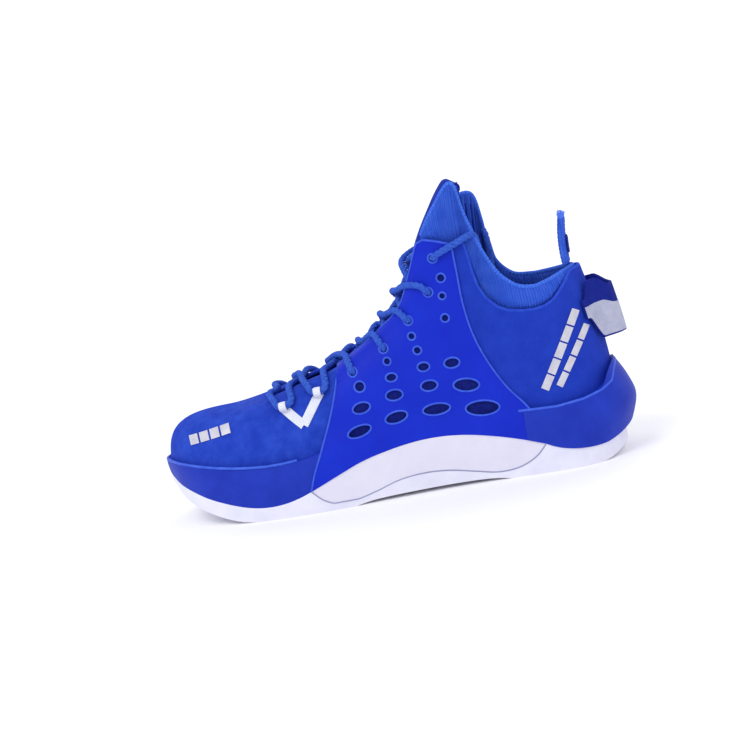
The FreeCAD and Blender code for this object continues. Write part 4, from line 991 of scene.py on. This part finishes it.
def lace():
    build = Build()
    eyes = {sign: [eyelet_path(k, sign) for k in range(len(EYELETS))] for sign in (-1, 1)}
    routes = [climb(LOOP_FRONT, False, -1, -71.5) + [np.array((-72, 0, 72.6))] + climb(LOOP_FRONT, False, 1, -71.5)[::-1]]
    for sign, rise in ((-1, 0.0), (1, 4.7)):
        routes.append(climb(LOOP_FRONT, True, sign, -60) + [np.array((-56.5, 0, 75.2 + rise))]
                      + climb(LOOP_BACK, False, -sign, -53)[::-1])
        eye = eyes[-sign][0]
        routes.append(climb(LOOP_BACK, True, sign, -38.5) + [np.array((-32, 0, 82.6 + rise))] + eye["over"] + eye["hole"]
                      + [eye["inside"], eye["joint"]])
    for row, x in enumerate((-12.5, 4.5, 15.5)):
        for sign, height in ((-1, 2.5), (1, 7.1)):
            start, eye = eyes[sign][row], eyes[-sign][row + 1]
            over = [tongue_point(x - 1.3, sign * 7, height * 0.7 + 0.9), tongue_point(x, 0, height),
                    tongue_point(x + 1.3, -sign * 7, height * 0.7 + 1.1)]
            routes.append([start["joint"], start["under"]] + over + eye["over"] + eye["hole"]
                          + [eye["inside"], eye["joint"]])
    for sign, height, rim_x in ((1, 2.5, 66.0), (-1, 7.1, 70.0)):
        start, eye = eyes[sign][3], eyes[-sign][4]
        name = "lateral" if sign > 0 else "medial"
        crest = offset(edge_at(rim_x, -sign, 8.0, 9.6), 1.0, -4.0) + (0, 0, 3.5)
        drop = crest + (1.6, sign * 7.0, -8.0)
        side = [offset(*spot(x, z, -sign), d) for x, z, d in ((46.5, 143.4, LACE_OVER), (54, 146.4, LACE_OVER),
                                                             (60.5, 149.4, 3.2))]
        low = drop - (0, 0, 7)
        routes.append([start["joint"], start["under"], tongue_point(23.2, sign * 7, height * 0.7 + 0.7),
                       tongue_point(24.8, 0, height), tongue_point(26.4, -sign * 7, height * 0.5 + 0.4), eye["under"],
                       eye["inside"], eye["hole"][1], eye["hole"][0]] + side + [crest, drop, low])
        points = [low] + [drop + (a, sign * b, -c) for a, b, c in ((0, 0, 18), (0.8, 0.5, 34), (0.2, 1.4, 52),
                                                                   (-0.8, 1.3, 70), (-1, 0.9, 82))]
        path = nurbs(points)
        free = Build()
        rope(free, path)
        piece = free.finish("lace_tail_" + name, M["lace"], replaces=["lace_end_" + name], sharp=80)
    for route in routes:
        rope(build, nurbs(route))
    build.finish("lace_rope", M["lace"], replaces=["lace"], sharp=80)


lace()

# ---------------------------------------------------------------- webbing loops on the vamp
for side, sign in (("lateral", -1), ("medial", 1)):
    build = Build()
    for place in (LOOP_FRONT, LOOP_BACK):
        a, b = np.array(LOOP_ANCHOR, float), np.array(place, float)
        way = (b - a) / np.linalg.norm(b - a)
        across = np.array((-way[1], way[0]))
        s = np.linspace(0, np.linalg.norm(b - a) + 1.2, 26)
        w = np.linspace(-2.75, 2.75, 9)
        flat = a[None, None] + way * s[:, None, None] + across * w[None, :, None]
        u, t = find(flat[..., 0].ravel(), flat[..., 1].ravel(), sign)
        u, t = u.reshape(flat.shape[:2]), t.reshape(flat.shape[:2])
        crown = 0.95 - 0.35 * (abs(w) / 2.75)[None] ** 4
        top, under = offset(u, t, crown + 0 * u), offset(u, t, 0.1)
        uv = np.stack(np.broadcast_arrays(s[:, None], w[None]), -1)
        build.grid(np.concatenate([under[:, :1], top, under[:, -1:]], axis=1),
                   np.concatenate([uv[:, :1], uv, uv[:, -1:]], axis=1))
        build.add(np.vstack([top[0], under[0, ::-1]]), [tuple(range(18))])
        centre, way3 = loop_path(place, sign)
        n = normal(*spot(*place, sign))
        turn = np.cross(way3, n)
        k = np.linspace(0, 2 * PI, 33)
        for_r = []
        for width, radius in ((-2.2, 2.35), (-2.3, 2.75), (-1.6, 3.05), (0, 3.1), (1.6, 3.05), (2.3, 2.75), (2.2, 2.35)):
            for_r.append(centre + way3 * width + (n * np.cos(k)[:, None] + turn * np.sin(k)[:, None]) * radius)
        ring = np.array(for_r)
        build.grid(ring, np.stack(np.broadcast_arrays(np.arange(7)[:, None] * 0.8, k[None] * 3), -1))
    build.finish("lace_webbing_" + side, M["webbing"], replaces=["lace_loops_" + side])

# ---------------------------------------------------------------- heel pull loop, flap and label
def pull():
    """Strap round the back of the heel: stands out in the middle, sewn down at both ends."""
    us = np.linspace(-2.35, 2.35, 150)
    depth = table(PULL_OUT, abs(us))
    ends = smooth(1.5, 2.2, abs(us))

    def sheet(extra, lo, hi, n):
        q = np.linspace(lo, hi, n)[None]
        out = smooth(6, 13, depth)[:, None]
        low = 72.4 * (1 - ends[:, None]) + 86.2 * ends[:, None]
        high = (108.2 - 6.2 * out) * (1 - ends[:, None]) + 97.6 * ends[:, None]
        height = low + (high - low) * q
        t = (height - 8) / 110.5
        for _ in range(4):
            t = t + (height - skin(us[:, None] + 0 * t, t)[..., 2]) / 110.5
        return offset(us[:, None] + 0 * t, t, depth[:, None] + extra + 0 * t), height

    pieces = []
    for name, made, inner_at, outer_at, lo, hi, n in (("pull_strap", M["pull"], 0.0, 1.75, 0.0, 1.0, 37),
                                                      ("pull_silver", M["silver_web"], 1.5, 2.05, 0.03, 0.6, 25)):
        outer, height = sheet(outer_at, lo, hi, n)
        inner, _ = sheet(inner_at, lo, hi, n)
        middle_low = (outer[:, :1] + inner[:, :1]) / 2 - (0, 0, 0.25)
        middle_high = (outer[:, -1:] + inner[:, -1:]) / 2 + (0, 0, 0.25)
        grid = np.concatenate([middle_low, outer, middle_high, inner[:, ::-1], middle_low], axis=1)
        up = np.concatenate([height[:, :1], height, height[:, -1:], height[:, ::-1] + 50, height[:, :1]], axis=1)
        build = Build()
        along = length_of(outer[:, n // 2])
        build.grid(grid, np.stack([np.broadcast_to(along[:, None], up.shape), up], -1))
        for k in (0, -1):
            build.add(grid[k, :-1], [tuple(range(grid.shape[1] - 1))])
        pieces.append(build.finish(name, made, body=None,
                                   replaces=["pull_loop", "pull_loop_band"] if name == "pull_strap" else ()))
    for item in pieces:
        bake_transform(item)


pull()

FLAP = line([(120.6, 120.6), (120.0, 130), (120.4, 140), (121.8, 151.5)], 0.7)


def flap_slab(name, made, front, back, half, share0, share1, shrink, node, ragged=0.0, ribs=0.0):
    n = len(FLAP)
    rows = FLAP[int(share0 * (n - 1)):int(share1 * (n - 1)) + 1]
    k = np.linspace(0, 1, len(rows))
    angle = np.linspace(0, 2 * PI, 65)
    c, q = np.cos(angle), np.sin(angle)
    y = (half - shrink * k ** 2)[:, None] * (np.sign(c) * abs(c) ** 0.4)[None]
    end = np.clip(np.minimum(k, 1 - k) * len(rows) * 0.7 / 1.2, 0.25, 1) ** 0.5
    depth = (front + back) / 2 + (back - front) / 2 * (np.sign(q) * abs(q) ** 0.4)[None] * end[:, None]
    depth = depth + ribs * np.sin(rows[:, 1] * 2 * PI / 2.6)[:, None] * np.sign(q)[None] * (abs(c) < 0.98)[None]
    x = rows[:, 0][:, None] + depth - y ** 2 / 34
    z = rows[:, 1][:, None] + ragged * (k ** 8)[:, None] * np.sin(y * 2.7 + 0.6) * np.cos(y * 1.3)
    build = Build()
    grid = np.stack([x, y, z], -1)
    build.grid(grid, np.stack([y + 30 * np.sign(q)[None], np.broadcast_to(rows[:, 1][:, None], y.shape)], -1))
    for e in (0, -1):
        fan = grid[e, :-1]
        build.add(np.vstack([fan, fan.mean(0)[None]]), [(i, (i + 1) % 64, 64) for i in range(64)])
    return build.finish(name, made, body="heel_tab", replaces=[node], sharp=70)


flap_slab("achilles_tab", M["knit"], -1.5, 1.5, 10.3, 0, 0.95, 1.5, "achilles_flap", ragged=0.7, ribs=0.12)
flap_slab("achilles_tag", M["pull"], 1.75, 2.75, 5.0, 0.22, 0.55, 0, "achilles_label")
fray = Build()
rng = np.random.default_rng(7)
for k in range(150):
    y = rng.uniform(-8.6, 8.6)
    base = np.array((121.3 - y * y / 34 + rng.uniform(-1.0, 1.0), y, 148.6 + rng.uniform(-0.8, 0.4)))
    lean = np.array((rng.uniform(-0.25, 0.45), rng.uniform(-0.3, 0.3), 1.0))
    size = rng.uniform(2.0, 4.6)
    s = np.linspace(0, 1, 5)[:, None]
    bend = np.array((rng.uniform(-0.8, 0.8), rng.uniform(-0.8, 0.8), 0))
    p = base + lean * s * size + bend * s ** 2
    p[:, 2] = np.minimum(p[:, 2], 153.2)
    fray.tube(p, np.linspace(0.28, 0.1, 5), sides=5)
fray.finish("achilles_fray", M["fray"], body="heel_tab")

# ---------------------------------------------------------------- ledges of the sole, lighter blue as painted highlight
def rim_out(p):
    return table([(-148, 2.8), (-142, 3.4), (-122, 4.6), (-100, 5.0)], p[..., 0])


def cup_out(p):
    back = smooth(104, 138, p[..., 0])
    return table(CUP_SIDE, p[..., 2]) * (1 - back) + table(CUP_BACK, p[..., 2]) * back


def plate_out(p):
    return 5.0 - 0.5 * smooth(-40, 20, p[..., 0])


def ledge(build, points, stations, depth, radius):
    """Bead along the upper edge of a sole wall, right round the end of the shoe."""
    share = crossing(stations, points)
    p = offset(stations, share, depth)
    build.tube(resample(p, 1.2), radius, sides=10, flat=0.9)


build = Build()
ledge(build, [(-160, 38.2)] + RIM_TOP, np.linspace(18.1, 29.9, 320), lambda p: rim_out(p) - 0.7, 0.95)
ledge(build, CUP_TOP + [(156, 58.5)], np.linspace(-7.4, 7.4, 220), lambda p: cup_out(p) - 0.6, 0.9)
build.finish("sole_ledge_highlights", M["ledge"])

# moulded line along the lower edge of each white side plate
build = Build()
for side in (-1, 1):
    p = line([(-55.4, 12.6)] + PLATE_LOW[1:-1] + [(89.4, 17.2)], 1.2)
    u, t = find(p[:, 0], p[:, 1] + 0.4, side)
    build.tube(resample(offset(u, t, lambda p: plate_out(p) - 0.1), 1.2), 0.42, sides=8)
build.finish("plate_line", M["plate_edge"])

# ---------------------------------------------------------------- CAD parts that keep their shape
for node, made in (("outsole", "outsole"), ("midsole_core", "foam"), ("shank_plate", "carbon"), ("heel_insert", "foam"),
                   ("forefoot_rim", "rim"), ("heel_cup", "rim"), ("arch_plate_lateral", "plate"),
                   ("arch_plate_medial", "plate"), ("strobel_board", "board"), ("toe_puff", "stiff"),
                   ("heel_counter", "stiff"), ("heel_reflector_lateral", "silver"), ("heel_reflector_medial", "silver"),
                   ("toe_reflector", "silver"), ("aglet_lateral", "aglet"), ("aglet_medial", "aglet"),
                   ("pull_anchor_lateral", "pull"), ("pull_anchor_medial", "pull")):
    paint(node, M[made])

# ---------------------------------------------------------------- floor
data = bpy.data.meshes.new("floor")
data.from_pydata([(-90, -90, 0), (90, -90, 0), (90, 90, 0), (-90, 90, 0)], [], [(0, 1, 2, 3)])
floor = bpy.data.objects.new("floor", data)
bpy.context.scene.collection.objects.link(floor)
data.materials.append(material("floor_white", (250, 250, 252), (248, 248, 251), 0.7, 0.001, surface="object", bump=0.02))
